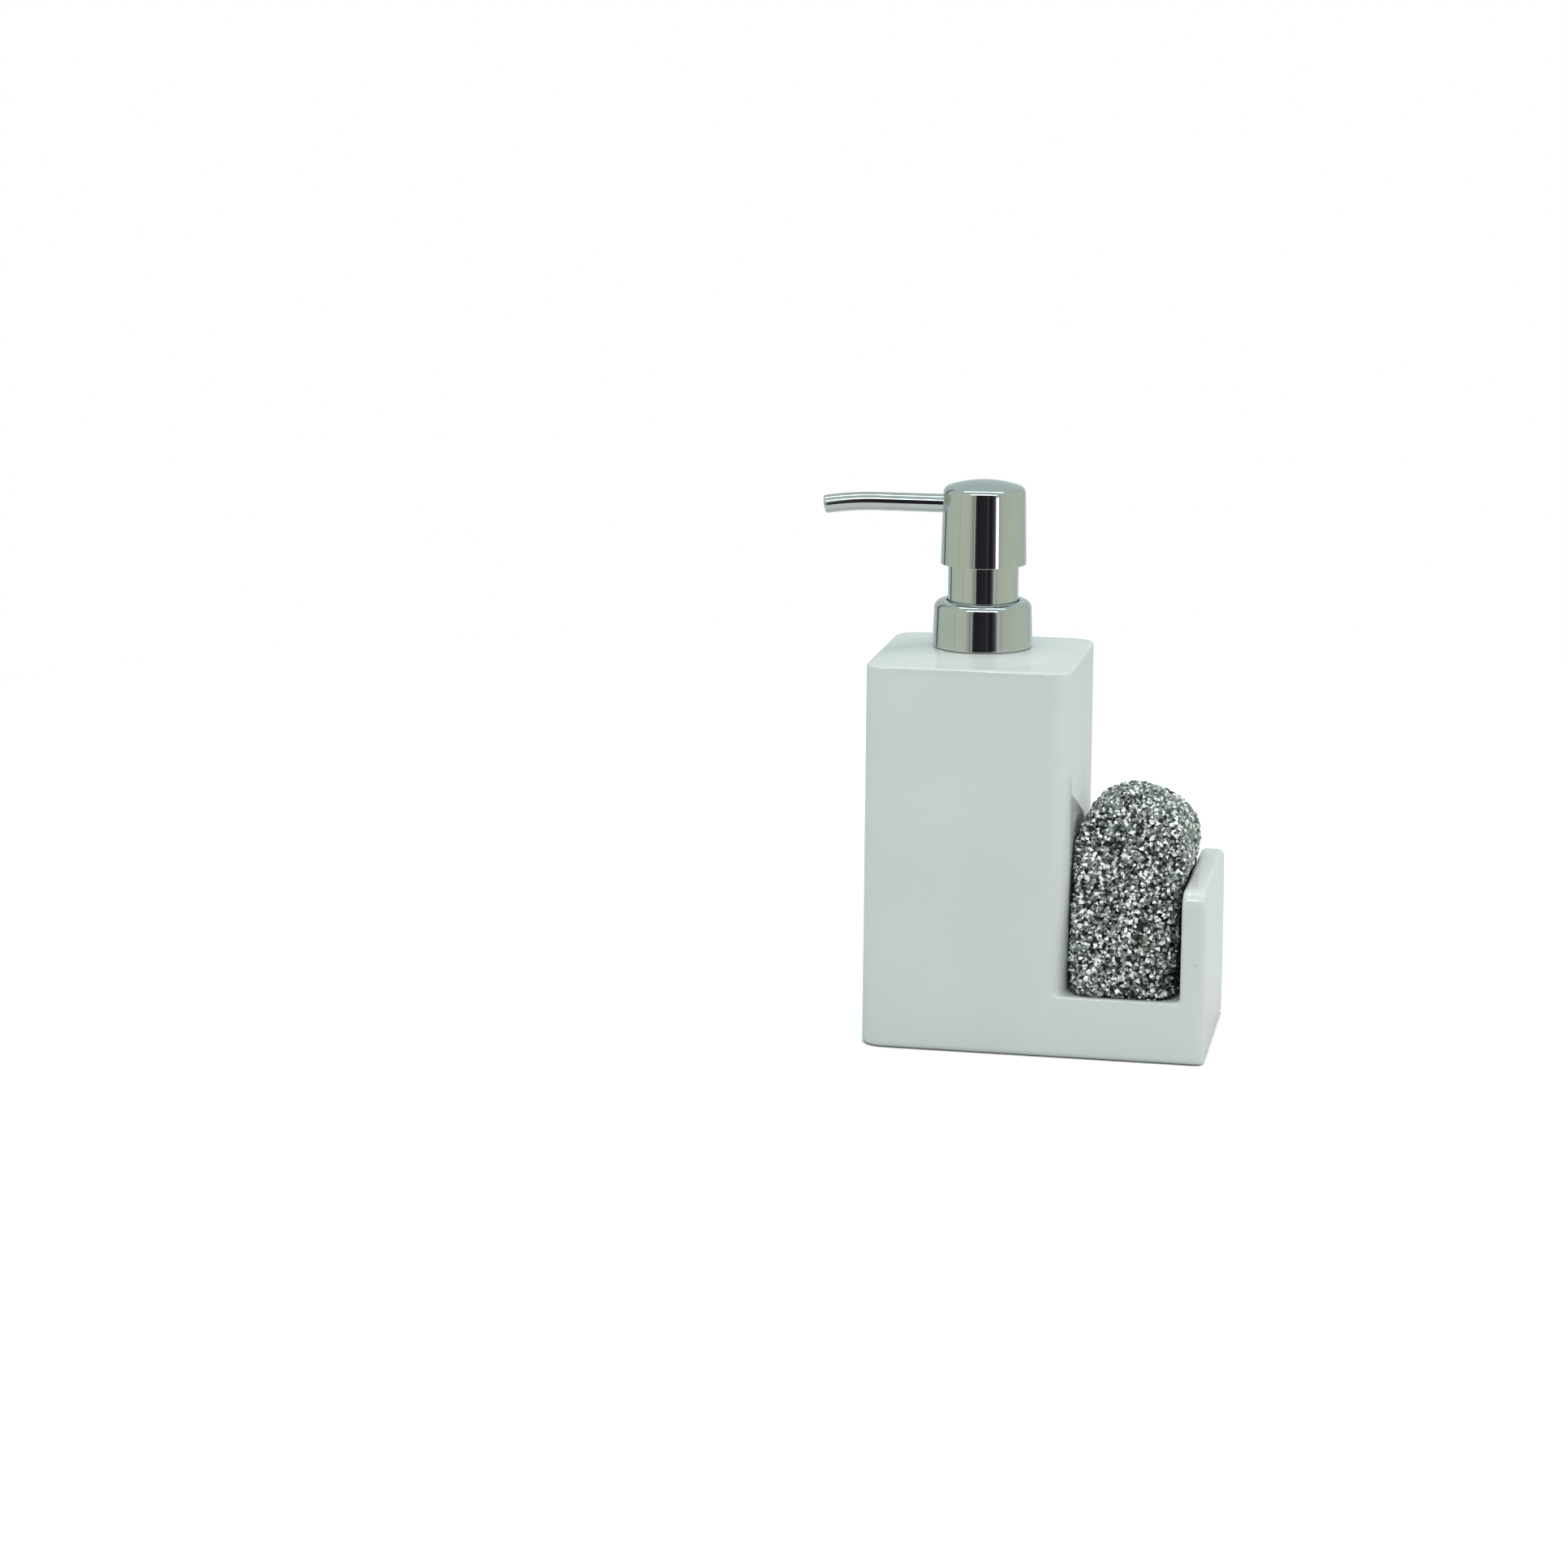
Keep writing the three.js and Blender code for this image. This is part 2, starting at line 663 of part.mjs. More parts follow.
// A quarter of an ellipse, or of a flatter or fuller curve, from 1 at the start to 0 at the end
function arch(z, from, to, curve = 2) {
  const share = Math.min(Math.max((z - from) / (to - from), 0), 1);
  return (1 - share ** curve) ** (1 / curve);
}

// A level ring of the sponge: upright at the tower, swelling over the end wall, arched to a short ridge on top
function spongeRing(z, inset) {
  const foot = spongeFootRadius * (1 - arch(spongeBottom + spongeFootRadius - z, 0, spongeFootRadius));
  const sides = arch(z, spongeSideStart, spongeTop);
  const ends = arch(z, spongeBottom + spongeFrontRise, spongeTop, spongeFrontCurve);
  const swollen = spongeRight + spongeSwell * eased(z, endWallHeight - spongeSwellDrop, spongeSideStart);
  const left = spongeRidge - (spongeRidge - spongeLeft) * sides + foot + inset;
  const right = spongeRidge + (swollen - spongeRidge) * sides - foot - inset;
  const deep = (spongeRidgeDepth + (spongeDepth - spongeRidgeDepth) * ends) / 2 - foot - inset;
  const corner = Math.min(spongeCornerRadius, 0.45 * (right - left), 0.9 * deep);
  return roundedOutline(left, right, -deep, deep, [corner, corner, corner, corner]);
}

// The sponge's closed form, drawn in by an inset on every side
function spongeForm(inset) {
  const foot = [0, 0.12, 0.4, 1].map((share) => spongeBottom + spongeFootRadius * share);
  const sideFoot = spongeBottom + spongeFootRadius;
  const side = [0.25, 0.5, 0.7, 0.86, 1].map((share) => sideFoot + (spongeSideStart - sideFoot) * share);
  const roof = [0.3, 0.55, 0.75, 0.88, 0.96, 0.992].map((share) => (
    spongeSideStart + (spongeTop - spongeSideStart) * share
  ));
  const middle = (spongeBottom + spongeTop) / 2;
  const shrink = 1 - 2 * inset / spongeHeight;
  return loft([...foot, ...side, ...roof].map((z) => {
    const ring = spongeRing(z, inset);
    return ring.map(({ x, y }) => new THREE.Vector3(x, y, middle + (z - middle) * shrink));
  }));
}

// Knit cover, sewn along its foot with a short slit left open
function spongeCover() {
  const slit = new THREE.BoxGeometry(coverSlitWidth, coverSlitLength, 2 * coverThickness);
  slit.translate((spongeLeft + spongeRight) / 2, 0, spongeBottom + coverThickness / 2);
  const outside = toSolid(spongeForm(0));
  return toGeometry(outside.subtract(toSolid(spongeForm(coverThickness))).subtract(toSolid(slit)));
}

function paint(color, roughness, metalness) {
  return new THREE.MeshStandardMaterial({ color, roughness, metalness });
}

function piece(name, geometry, material) {
  const mesh = new THREE.Mesh(geometry, material);
  mesh.name = name;
  return mesh;
}

const pump = new THREE.Group();
pump.position.x = pumpX;
pump.add(
  piece('neck_insert', neckInsert(), paint(0xe6e6e2, 0.5, 0)),
  piece('neck_gasket', neckGasket(), paint(0x303234, 0.8, 0)),
  piece('collar_shell', collarShell(), paint(0xc8cdce, 0.08, 1)),
  piece('collar_liner', collarLiner(), paint(0xe2e3e0, 0.5, 0)),
  piece('guide_sleeve', guideSleeve(), paint(0xc4cacb, 0.1, 1)),
  piece('stem_guide', stemGuide(), paint(0xdfe1de, 0.5, 0)),
  piece('pump_housing', pumpHousing(), paint(0xe9e9e5, 0.45, 0)),
  piece('valve_cage', valveCage(), paint(0xdcdedb, 0.5, 0)),
  piece('inlet_ball', ball(inletBallZ), paint(0xb8bcbe, 0.15, 1)),
  piece('return_spring', returnSpring(), paint(0x9fa4a6, 0.25, 1)),
  piece('piston_seal', pistonSeal(), paint(0xf0efe9, 0.6, 0)),
  piece('piston_stem', pistonStem(), paint(0xe4e5e1, 0.45, 0)),
  piece('outlet_ball', ball(outletBallZ), paint(0xb8bcbe, 0.15, 1)),
  piece('dip_tube', dipTube(), paint(0xeef0ee, 0.35, 0)),
  piece('actuator_core', actuatorCore(), paint(0xd9dbd8, 0.5, 0)),
  piece('actuator_shell', actuatorShell(), paint(0xc8cdce, 0.06, 1)),
  piece('spout_tube', spoutTube(), paint(0xc8cdce, 0.08, 1)),
);

const dispenser = new THREE.Group();
dispenser.add(
  piece('ceramic_body', ceramicBody(), paint(0xc3cdca, 0.12, 0)),
  pump,
  piece('sponge_core', spongeForm(coverThickness + run), paint(0xd8cf9a, 0.95, 0)),
  piece('sponge_cover', spongeCover(), paint(0x9aa19e, 0.3, 0.9)),
);

export default dispenser;
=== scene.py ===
# Soap dispenser with a sponge holder, dressed over the shared frame
# Metres, +Z up; the front faces -Y and the sponge stands on the +X side

import json
import math

import bmesh
import bpy
from mathutils import Matrix, Vector


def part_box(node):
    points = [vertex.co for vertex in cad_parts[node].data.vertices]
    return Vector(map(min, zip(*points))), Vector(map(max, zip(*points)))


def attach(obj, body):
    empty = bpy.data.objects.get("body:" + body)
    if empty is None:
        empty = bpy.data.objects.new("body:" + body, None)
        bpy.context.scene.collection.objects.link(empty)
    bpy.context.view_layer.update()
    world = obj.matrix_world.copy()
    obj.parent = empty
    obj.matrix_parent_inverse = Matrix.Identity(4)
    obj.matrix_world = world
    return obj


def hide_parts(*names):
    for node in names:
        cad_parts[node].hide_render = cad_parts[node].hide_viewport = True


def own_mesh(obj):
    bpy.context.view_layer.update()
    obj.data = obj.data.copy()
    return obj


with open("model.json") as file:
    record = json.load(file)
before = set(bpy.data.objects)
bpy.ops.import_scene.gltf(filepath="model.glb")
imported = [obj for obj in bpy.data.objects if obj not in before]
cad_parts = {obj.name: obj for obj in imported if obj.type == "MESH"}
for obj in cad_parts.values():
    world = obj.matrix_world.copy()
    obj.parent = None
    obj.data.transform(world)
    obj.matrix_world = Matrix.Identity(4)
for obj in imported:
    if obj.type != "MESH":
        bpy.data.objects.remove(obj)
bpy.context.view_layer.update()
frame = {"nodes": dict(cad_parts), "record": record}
mm = 0.001
weld = 0.002 * mm  # corners closer than this become one
scene = bpy.context.scene
print("frame loaded")


# Tools of the modelling bench

def deselectAll():
    if bpy.context.object and bpy.context.object.mode == "EDIT":
        bpy.ops.object.mode_set(mode="OBJECT")
    bpy.ops.object.select_all(action="DESELECT")


def openPiece(name):
    # a new primitive keeps its place in its mesh and opens for editing
    piece = bpy.context.object
    piece.name = name
    bpy.ops.object.transform_apply(location=True, rotation=True, scale=True)
    bpy.ops.object.mode_set(mode="EDIT")
    bpy.ops.mesh.select_mode(type="VERT")
    bpy.ops.mesh.select_all(action="SELECT")
    return piece


def addBlock(name, low, high):
    deselectAll()
    middle = [(a + b) / 2 * mm for a, b in zip(low, high)]
    size = [(b - a) * mm for a, b in zip(low, high)]
    bpy.ops.mesh.primitive_cube_add(size=1, location=middle, scale=size)
    return openPiece(name)


def addRod(name, radius, low, high, sides):
    deselectAll()
    low, high = Vector(low) * mm, Vector(high) * mm
    turn = (high - low).to_track_quat("Z", "Y").to_euler()
    bpy.ops.mesh.primitive_cylinder_add(
        vertices=sides, radius=radius * mm, depth=(high - low).length,
        location=(low + high) / 2, rotation=turn)
    return openPiece(name)


def copyNode(node, name):
    # a loose copy of a CAD piece, open for editing
    deselectAll()
    source = frame["nodes"][node]
    source.select_set(True)
    bpy.context.view_layer.objects.active = source
    bpy.ops.object.duplicate()
    piece = bpy.context.object
    for key in [key for key in piece.keys() if key.startswith("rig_")]:
        del piece[key]
    piece.parent = None
    openPiece(name)
    bpy.ops.mesh.remove_doubles(threshold=weld)
    bpy.ops.mesh.select_all(action="SELECT")
    return piece


def near(a, b, slack=0.02):
    return abs(a - b) < slack


def pick(kind, test):
    # selects the corners, edges or faces whose lowest and highest points, in millimetres, pass the test
    bpy.ops.mesh.select_mode(type=kind)
    bpy.ops.mesh.select_all(action="DESELECT")
    mesh = bpy.context.edit_object.data
    form = bmesh.from_edit_mesh(mesh)
    items = {"VERT": form.verts, "EDGE": form.edges, "FACE": form.faces}[kind]
    for item in items:
        corners = [item] if kind == "VERT" else item.verts
        low = Vector([min(corner.co[axis] for corner in corners) / mm for axis in range(3)])
        high = Vector([max(corner.co[axis] for corner in corners) / mm for axis in range(3)])
        item.select_set(bool(test(low, high)))
    form.select_flush_mode()
    bmesh.update_edit_mesh(mesh)


def pull(x=0, y=0, z=0):
    move = {"value": (x * mm, y * mm, z * mm)}
    bpy.ops.mesh.extrude_region_move(TRANSFORM_OT_translate=move)


def swell(factors, centre):
    bpy.ops.transform.resize(value=factors, center_override=[c * mm for c in centre])


def roundEdges(radius, steps):
    bpy.ops.mesh.bevel(
        offset=radius * mm, segments=steps, profile=0.5, affect="EDGES", clamp_overlap=False)


def modify(piece, kind, **settings):
    deselectAll()
    bpy.context.view_layer.objects.active = piece
    piece.select_set(True)
    modifier = piece.modifiers.new(kind.lower(), kind)
    for key, value in settings.items():
        setattr(modifier, key, value)
    bpy.ops.object.modifier_apply(modifier=modifier.name)


def cut(piece, cutter):
    bpy.ops.object.mode_set(mode="OBJECT")
    modify(piece, "BOOLEAN", object=cutter, operation="DIFFERENCE", solver="EXACT")
    bpy.data.objects.remove(cutter)


def closeUp(piece, angle=40):
    # doubles merged, faces turned outwards, and shading smooth up to an angle
    deselectAll()
    bpy.context.view_layer.objects.active = piece
    piece.select_set(True)
    bpy.ops.object.mode_set(mode="EDIT")
    bpy.ops.mesh.select_all(action="SELECT")
    bpy.ops.mesh.remove_doubles(threshold=weld)
    bpy.ops.mesh.normals_make_consistent(inside=False)
    bpy.ops.object.mode_set(mode="OBJECT")
    bpy.ops.object.shade_smooth_by_angle(angle=math.radians(angle))


def arc(centre, radius, start, end, steps):
    points = []
    for step in range(steps + 1):
        angle = math.radians(start + (end - start) * step / steps)
        points.append((centre[0] + radius * math.cos(angle), centre[1] + radius * math.sin(angle)))
    return points


def between(start, end, steps):
    # points on a straight run, so that its faces stay short
    return [
        (start[0] + (end[0] - start[0]) * step / steps, start[1] + (end[1] - start[1]) * step / steps)
        for step in range(steps + 1)]


def turnOutline(name, outline, axisX, steps):
    # a closed outline of radius and height, drawn corner by corner and spun about the pump's axis
    deselectAll()
    radius, height = outline[0]
    bpy.ops.mesh.primitive_plane_add(size=mm, location=((axisX + radius) * mm, 0, height * mm))
    piece = openPiece(name)
    bpy.ops.mesh.merge(type="CENTER")
    for (fromRadius, fromHeight), (toRadius, toHeight) in zip(outline, outline[1:] + outline[:1]):
        pull(x=toRadius - fromRadius, z=toHeight - fromHeight)
    bpy.ops.mesh.select_all(action="SELECT")
    bpy.ops.mesh.remove_doubles(threshold=weld)
    bpy.ops.mesh.select_all(action="SELECT")
    bpy.ops.mesh.spin(steps=steps, angle=2 * math.pi, center=(axisX * mm, 0, 0), axis=(0, 0, 1))
    bpy.ops.object.mode_set(mode="OBJECT")
    closeUp(piece)
    return piece


# Tools of the finishing bench

class Wire:
    # a socket that takes part in plain sums
    def __init__(self, bench, socket):
        self.bench = bench
        self.socket = socket

    def work(self, operation, first, second):
        return self.bench.add("ShaderNodeMath", {"operation": operation}, {0: first, 1: second})

    def __add__(self, other):
        return self.work("ADD", self, other)

    def __radd__(self, other):
        return self.work("ADD", other, self)

    def __sub__(self, other):
        return self.work("SUBTRACT", self, other)

    def __rsub__(self, other):
        return self.work("SUBTRACT", other, self)

    def __mul__(self, other):
        return self.work("MULTIPLY", self, other)

    def __rmul__(self, other):
        return self.work("MULTIPLY", other, self)

    def __truediv__(self, other):
        return self.work("DIVIDE", self, other)

    def __rtruediv__(self, other):
        return self.work("DIVIDE", other, self)

    def __lt__(self, other):
        return self.work("LESS_THAN", self, other)

    def __gt__(self, other):  # the reflected form of <
        return self.work("GREATER_THAN", self, other)


class Bench:
    # one node tree, and the one way to add a node to it
    def __init__(self, tree):
        self.tree = tree
        tree.nodes.clear()

    def add(self, kind, settings=None, sockets=None, out=0):
        node = self.tree.nodes.new(kind)
        for key, value in (settings or {}).items():
            if key == "stops":
                self.setStops(node.color_ramp.elements, value)
            else:
                setattr(node, key, value)
        for key, value in (sockets or {}).items():
            if isinstance(value, Wire):
                self.tree.links.new(value.socket, node.inputs[key])
            else:
                node.inputs[key].default_value = value
        return Wire(self, node.outputs[out]) if len(node.outputs) else None

    def setStops(self, elements, stops):
        while len(elements) < len(stops):
            elements.new(1.0)
        for element, (place, colour) in zip(elements, stops):
            element.position = place
            element.color = (*colour, 1)

    def place(self):
        return self.add("ShaderNodeTexCoord", out="Object")

    def noise(self, vector, scale, detail):
        sockets = {"Vector": vector, "Scale": scale, "Detail": detail}
        return self.add("ShaderNodeTexNoise", {}, sockets, "Fac")

    def mix(self, share, first, second):
        sockets = {0: share, 6: first, 7: second}
        return self.add("ShaderNodeMix", {"data_type": "RGBA"}, sockets, 2)

    def remap(self, value, fromLow, fromHigh, toLow, toHigh):
        sockets = {0: value, 1: fromLow, 2: fromHigh, 3: toLow, 4: toHigh}
        return self.add("ShaderNodeMapRange", {}, sockets)

    def bump(self, height, distance, strength, normal=None):
        sockets = {"Height": height, "Distance": distance, "Strength": strength}
        if normal:
            sockets["Normal"] = normal
        return self.add("ShaderNodeBump", {}, sockets)

    def surface(self, **sockets):
        named = {key.replace("_", " "): value for key, value in sockets.items()}
        shader = self.add("ShaderNodeBsdfPrincipled", {}, named)
        self.add("ShaderNodeOutputMaterial", {}, {"Surface": shader})


def newFinish(name):
    finish = bpy.data.materials.new(name)
    finish.use_nodes = True
    return finish, Bench(finish.node_tree)


def paint(piece, finish):
    piece.data.materials.clear()
    piece.data.materials.append(finish)


# Camera at the photographed view

camera = {
    "place": (160.0, -1240.1, 353.1), "azimuth": 11.485, "elevation": 12.093, "roll": 0.261,
    "lens": 85.77, "sensor": 36,
}


def placeCamera():
    azimuth, elevation, roll = [math.radians(camera[key]) for key in ("azimuth", "elevation", "roll")]
    back = Vector((
        math.sin(azimuth) * math.cos(elevation), -math.cos(azimuth) * math.cos(elevation),
        math.sin(elevation)))
    right = Vector((math.cos(azimuth), math.sin(azimuth), 0))
    up = back.cross(right)
    across = math.cos(roll) * right + math.sin(roll) * up
    above = -math.sin(roll) * right + math.cos(roll) * up
    turn = Matrix((across, above, back)).transposed().to_4x4()
    lensData = bpy.data.cameras.new("photoCamera")
    lensData.lens = camera["lens"]
    lensData.sensor_width = camera["sensor"]
    holder = bpy.data.objects.new("photoCamera", lensData)
    scene.collection.objects.link(holder)
    holder.matrix_world = Matrix.Translation(Vector(camera["place"]) * mm) @ turn
    scene.camera = holder


placeCamera()
print("camera placed")


# Studio: white to the camera, and a light tent with a dark gap round the camera for what shines

studio = {
    # degrees round from the camera, positive to the right, and the tent's colour there
    "tent": [
        (-180, (0.36, 0.43, 0.42)), (-140, (0.35, 0.41, 0.40)), (-137.5, (0.05, 0.065, 0.065)),
        (-133.5, (0.05, 0.065, 0.065)), (-129, (0.33, 0.39, 0.37)), (-116, (0.40, 0.45, 0.38)),
        (-74, (0.42, 0.47, 0.385)), (-72, (0.31, 0.35, 0.29)), (-70, (0.43, 0.48, 0.395)),
        (-44, (0.42, 0.46, 0.385)), (-36, (0.30, 0.33, 0.28)), (-30.2, (0.17, 0.19, 0.16)),
        (-28.9, (0.44, 0.46, 0.44)), (-28.0, (0.44, 0.46, 0.44)), (-26.4, (0.05, 0.05, 0.055)),
        (-22, (0.014, 0.014, 0.016)), (3, (0.020, 0.020, 0.022)), (8, (0.036, 0.040, 0.042)),
        (13, (0.010, 0.011, 0.014)), (19, (0.014, 0.015, 0.018)), (25, (0.055, 0.058, 0.06)),
        (29, (0.15, 0.155, 0.155)), (32, (0.42, 0.44, 0.43)), (35, (0.46, 0.48, 0.46)),
        (38, (0.32, 0.35, 0.30)), (48, (0.40, 0.45, 0.37)), (90, (0.43, 0.48, 0.395)),
        (118, (0.41, 0.46, 0.39)), (131, (0.40, 0.45, 0.42)), (134, (0.24, 0.28, 0.27)),
        (137, (0.40, 0.46, 0.45)), (180, (0.36, 0.43, 0.42)),
    ],
    "strength": 1.5,
    # where the walls turn into roof or ground, as the height of a ray of length one
    "roof": (0.37, 0.465, 0.455), "roofStart": 0.58, "roofFull": 0.66,
    "ground": (0.42, 0.50, 0.47), "groundStart": -0.36, "groundFull": -0.42,
    "floorRadius": 800, "floorSides": 96, "floorDrop": 0.05,
    "floorColour": (0.70, 0.71, 0.70), "floorGrain": 60.0, "floorLift": 1.02, "floorGlow": 0.5,
    # the painted contact shadow in the crease under the body's edge: its reach, and how open it is where it
    # is dark and where it is clear
    "contact": 2, "creaseDark": 0.4, "creaseClear": 0.75,
    "lampAim": (0, 0, 90),
}

# a lamp that doesn't shine lights what is dull, and no gloss mirrors it
lamps = {
    "frontStrip": {
        "place": (80, -845, 950), "size": (1500, 200), "power": 2.4, "tint": (1, 1, 1), "shines": True,
    },
    "overheadStrip": {
        "place": (0, 40, 1300), "size": (1500, 90), "power": 2.2, "tint": (1, 1, 1), "shines": True,
    },
    "frontGloss": {
        "place": (-120, -845, 950), "size": (360, 70), "power": 1.5, "tint": (1, 1, 1), "shines": True,
    },
    "overheadGloss": {
        "place": (-160, 0, 1300), "size": (360, 70), "power": 1.2, "tint": (1, 1, 1), "shines": True,
    },
    "headStrip": {
        "place": (680, -705, 60), "size": (130, 300), "power": 0.21, "tint": (1, 1, 1), "shines": True,
    },
    "frontFill": {
        "place": (-150, -1150, 300), "size": (1100, 600), "power": 2.3, "tint": (0.99, 1, 1), "shines": False,
    },
    "topFill": {
        "place": (100, 60, 1250), "size": (900, 900), "power": 2.8, "tint": (1, 0.7, 0.74), "shines": False,
    },
    "rightFill": {
        "place": (950, -60, 560), "size": (700, 900), "power": 4.1, "tint": (1, 0.91, 0.92), "shines": False,
    },
    "leftFill": {
        "place": (-1000, -350, 420), "size": (700, 900), "power": 0.9, "tint": (1, 1, 1), "shines": False,
    },
}


def hangTent():
    world = bpy.data.worlds.new("lightTent")
    scene.world = world
    world.use_nodes = True
    bench = Bench(world.node_tree)
    ray = bench.add("ShaderNodeTexCoord", out="Generated")
    turn = math.radians(camera["azimuth"])
    toCamera = (math.sin(turn), -math.cos(turn), 0)
    toRight = (math.cos(turn), math.sin(turn), 0)
    ahead = bench.add("ShaderNodeVectorMath", {"operation": "DOT_PRODUCT"}, {0: ray, 1: toCamera}, "Value")
    aside = bench.add("ShaderNodeVectorMath", {"operation": "DOT_PRODUCT"}, {0: ray, 1: toRight}, "Value")
    height = bench.add("ShaderNodeSeparateXYZ", {}, {0: ray}, "Z")
    around = bench.add("ShaderNodeMath", {"operation": "ARCTAN2"}, {0: aside, 1: ahead})
    share = around / (2 * math.pi) + 0.5
    stops = [(degrees / 360 + 0.5, colour) for degrees, colour in studio["tent"]]
    walls = bench.add("ShaderNodeValToRGB", {"stops": stops}, {"Fac": share}, "Color")
    roofShare = bench.remap(height, studio["roofStart"], studio["roofFull"], 0, 1)
    groundShare = bench.remap(height, studio["groundStart"], studio["groundFull"], 0, 1)
    tent = bench.mix(roofShare, walls, (*studio["roof"], 1))
    tent = bench.mix(groundShare, tent, (*studio["ground"], 1))
    seen = bench.add("ShaderNodeLightPath", out="Is Camera Ray")
    white = 1 / studio["strength"]
    colour = bench.mix(seen, tent, (white, white, white, 1))
    glow = bench.add("ShaderNodeBackground", {}, {"Color": colour, "Strength": studio["strength"]})
    bench.add("ShaderNodeOutputWorld", {}, {"Surface": glow})


def hangLamps():
    aim = Vector(studio["lampAim"]) * mm
    for name, plan in lamps.items():
        place = Vector(plan["place"]) * mm
        lamp = bpy.data.lights.new(name, "AREA")
        lamp.shape = "RECTANGLE"
        lamp.size, lamp.size_y = [side * mm for side in plan["size"]]
        lamp.energy = plan["power"]
        lamp.color = plan["tint"]
        holder = bpy.data.objects.new(name, lamp)
        scene.collection.objects.link(holder)
        holder.location = place
        holder.rotation_euler = (aim - place).to_track_quat("-Z", "Y").to_euler()
        holder.visible_camera = False
        holder.visible_glossy = plan["shines"]


def aimLamps(names, pieces):
    # these lamps light the given pieces alone
    lit = bpy.data.collections.new("litBy" + names[0])
    for piece in pieces:
        lit.objects.link(piece)
    for name in names:
        bpy.data.objects[name].light_linking.receiver_collection = lit


def layFloor():
    deselectAll()
    bpy.ops.mesh.primitive_circle_add(
        vertices=studio["floorSides"], radius=studio["floorRadius"] * mm, fill_type="NGON",
        location=(0, 0, -studio["floorDrop"] * mm))
    floor = bpy.context.object
    floor.name = "paleFloor"
    finish, bench = newFinish("palePaper")
    place = bench.place()
    grain = bench.noise(place, studio["floorGrain"], 4.0)
    lifted = [c * studio["floorLift"] for c in studio["floorColour"]]
    tone = bench.mix(grain, (*studio["floorColour"], 1), (*lifted, 1))
    paper = bench.add("ShaderNodeBsdfDiffuse", {}, {"Color": tone})
    # white to the camera, except in the crease right under the body's edge, where the glow fades out by
    # occlusion: a painted contact shadow over the real one
    clear = bench.add("ShaderNodeAmbientOcclusion", {}, {"Distance": studio["contact"] * mm}, "AO")
    seen = bench.add("ShaderNodeLightPath", out="Is Camera Ray")
    share = bench.remap(clear, studio["creaseDark"], studio["creaseClear"], 0, 1) * seen
    white = bench.mix(share, (0, 0, 0, 1), (*[studio["floorGlow"]] * 3, 1))
    glow = bench.add("ShaderNodeEmission", {}, {"Color": white})
    both = bench.add("ShaderNodeAddShader", {}, {0: paper, 1: glow})
    bench.add("ShaderNodeOutputMaterial", {}, {"Surface": both})
    paint(floor, finish)


hangTent()
hangLamps()
layFloor()
scene.view_settings.view_transform = "Standard"
print("studio ready")


# Glaze of the ceramic

glaze = {
    "deep": (0.572, 0.612, 0.605), "pale": (0.598, 0.636, 0.629), "bare": (0.34, 0.27, 0.19),
    "cloudScale": 22.0, "cloudLow": 0.35, "cloudHigh": 0.65,
    "gloss": 0.03, "glossSpread": 0.03, "glossScale": 70.0, "index": 1.54,
    "waveScale": 40.0, "waveDepth": 0.14, "waveStrength": 0.4,
    "skinScale": 420.0, "skinDepth": 0.006, "skinStrength": 0.5,
    "footHeight": 0.3, "footRough": 0.75,
    "speck": (0.10, 0.09, 0.075), "speckRadius": 0.26, "speckCore": 0.6, "speckDepth": 0.85,
    # pinholes, most of them where the photo shows one
    "specks": [(-31.0, -36, 129.2), (58.2, 1.1, 46.1), (55.1, -36, 34.7), (-58.4, 9, 71), (-12, 36, 38)],
}


def mixGlaze():
    plan = glaze
    finish, bench = newFinish("paleGlaze")
    place = bench.place()
    cloud = bench.noise(place, plan["cloudScale"], 3.0)
    share = bench.remap(cloud, plan["cloudLow"], plan["cloudHigh"], 0, 1)
    tone = bench.mix(share, (*plan["deep"], 1), (*plan["pale"], 1))
    core = plan["speckCore"] * plan["speckRadius"] * mm
    for spot in plan["specks"]:
        ends = {0: place, 1: [c * mm for c in spot]}
        distance = bench.add("ShaderNodeVectorMath", {"operation": "DISTANCE"}, ends, "Value")
        speck = bench.remap(distance, core, plan["speckRadius"] * mm, plan["speckDepth"], 0)
        tone = bench.mix(speck, tone, (*plan["speck"], 1))
    # the foot is wiped clean of glaze before firing
    height = bench.add("ShaderNodeSeparateXYZ", {}, {0: place}, "Z")
    foot = height < plan["footHeight"] * mm
    tone = bench.mix(foot, tone, (*plan["bare"], 1))
    sheen = bench.noise(place, plan["glossScale"], 2.0) * plan["glossSpread"] + plan["gloss"]
    waves = bench.bump(
        bench.noise(place, plan["waveScale"], 1.0), plan["waveDepth"] * mm, plan["waveStrength"])
    skin = bench.bump(
        bench.noise(place, plan["skinScale"], 2.0), plan["skinDepth"] * mm, plan["skinStrength"], waves)
    rough = bench.remap(foot, 0, 1, sheen, plan["footRough"])
    bench.surface(Base_Color=tone, Roughness=rough, Normal=skin, IOR=plan["index"])
    return finish


# Ceramic body: a block drawn up into a tower and an end wall, then softened like a slip casting

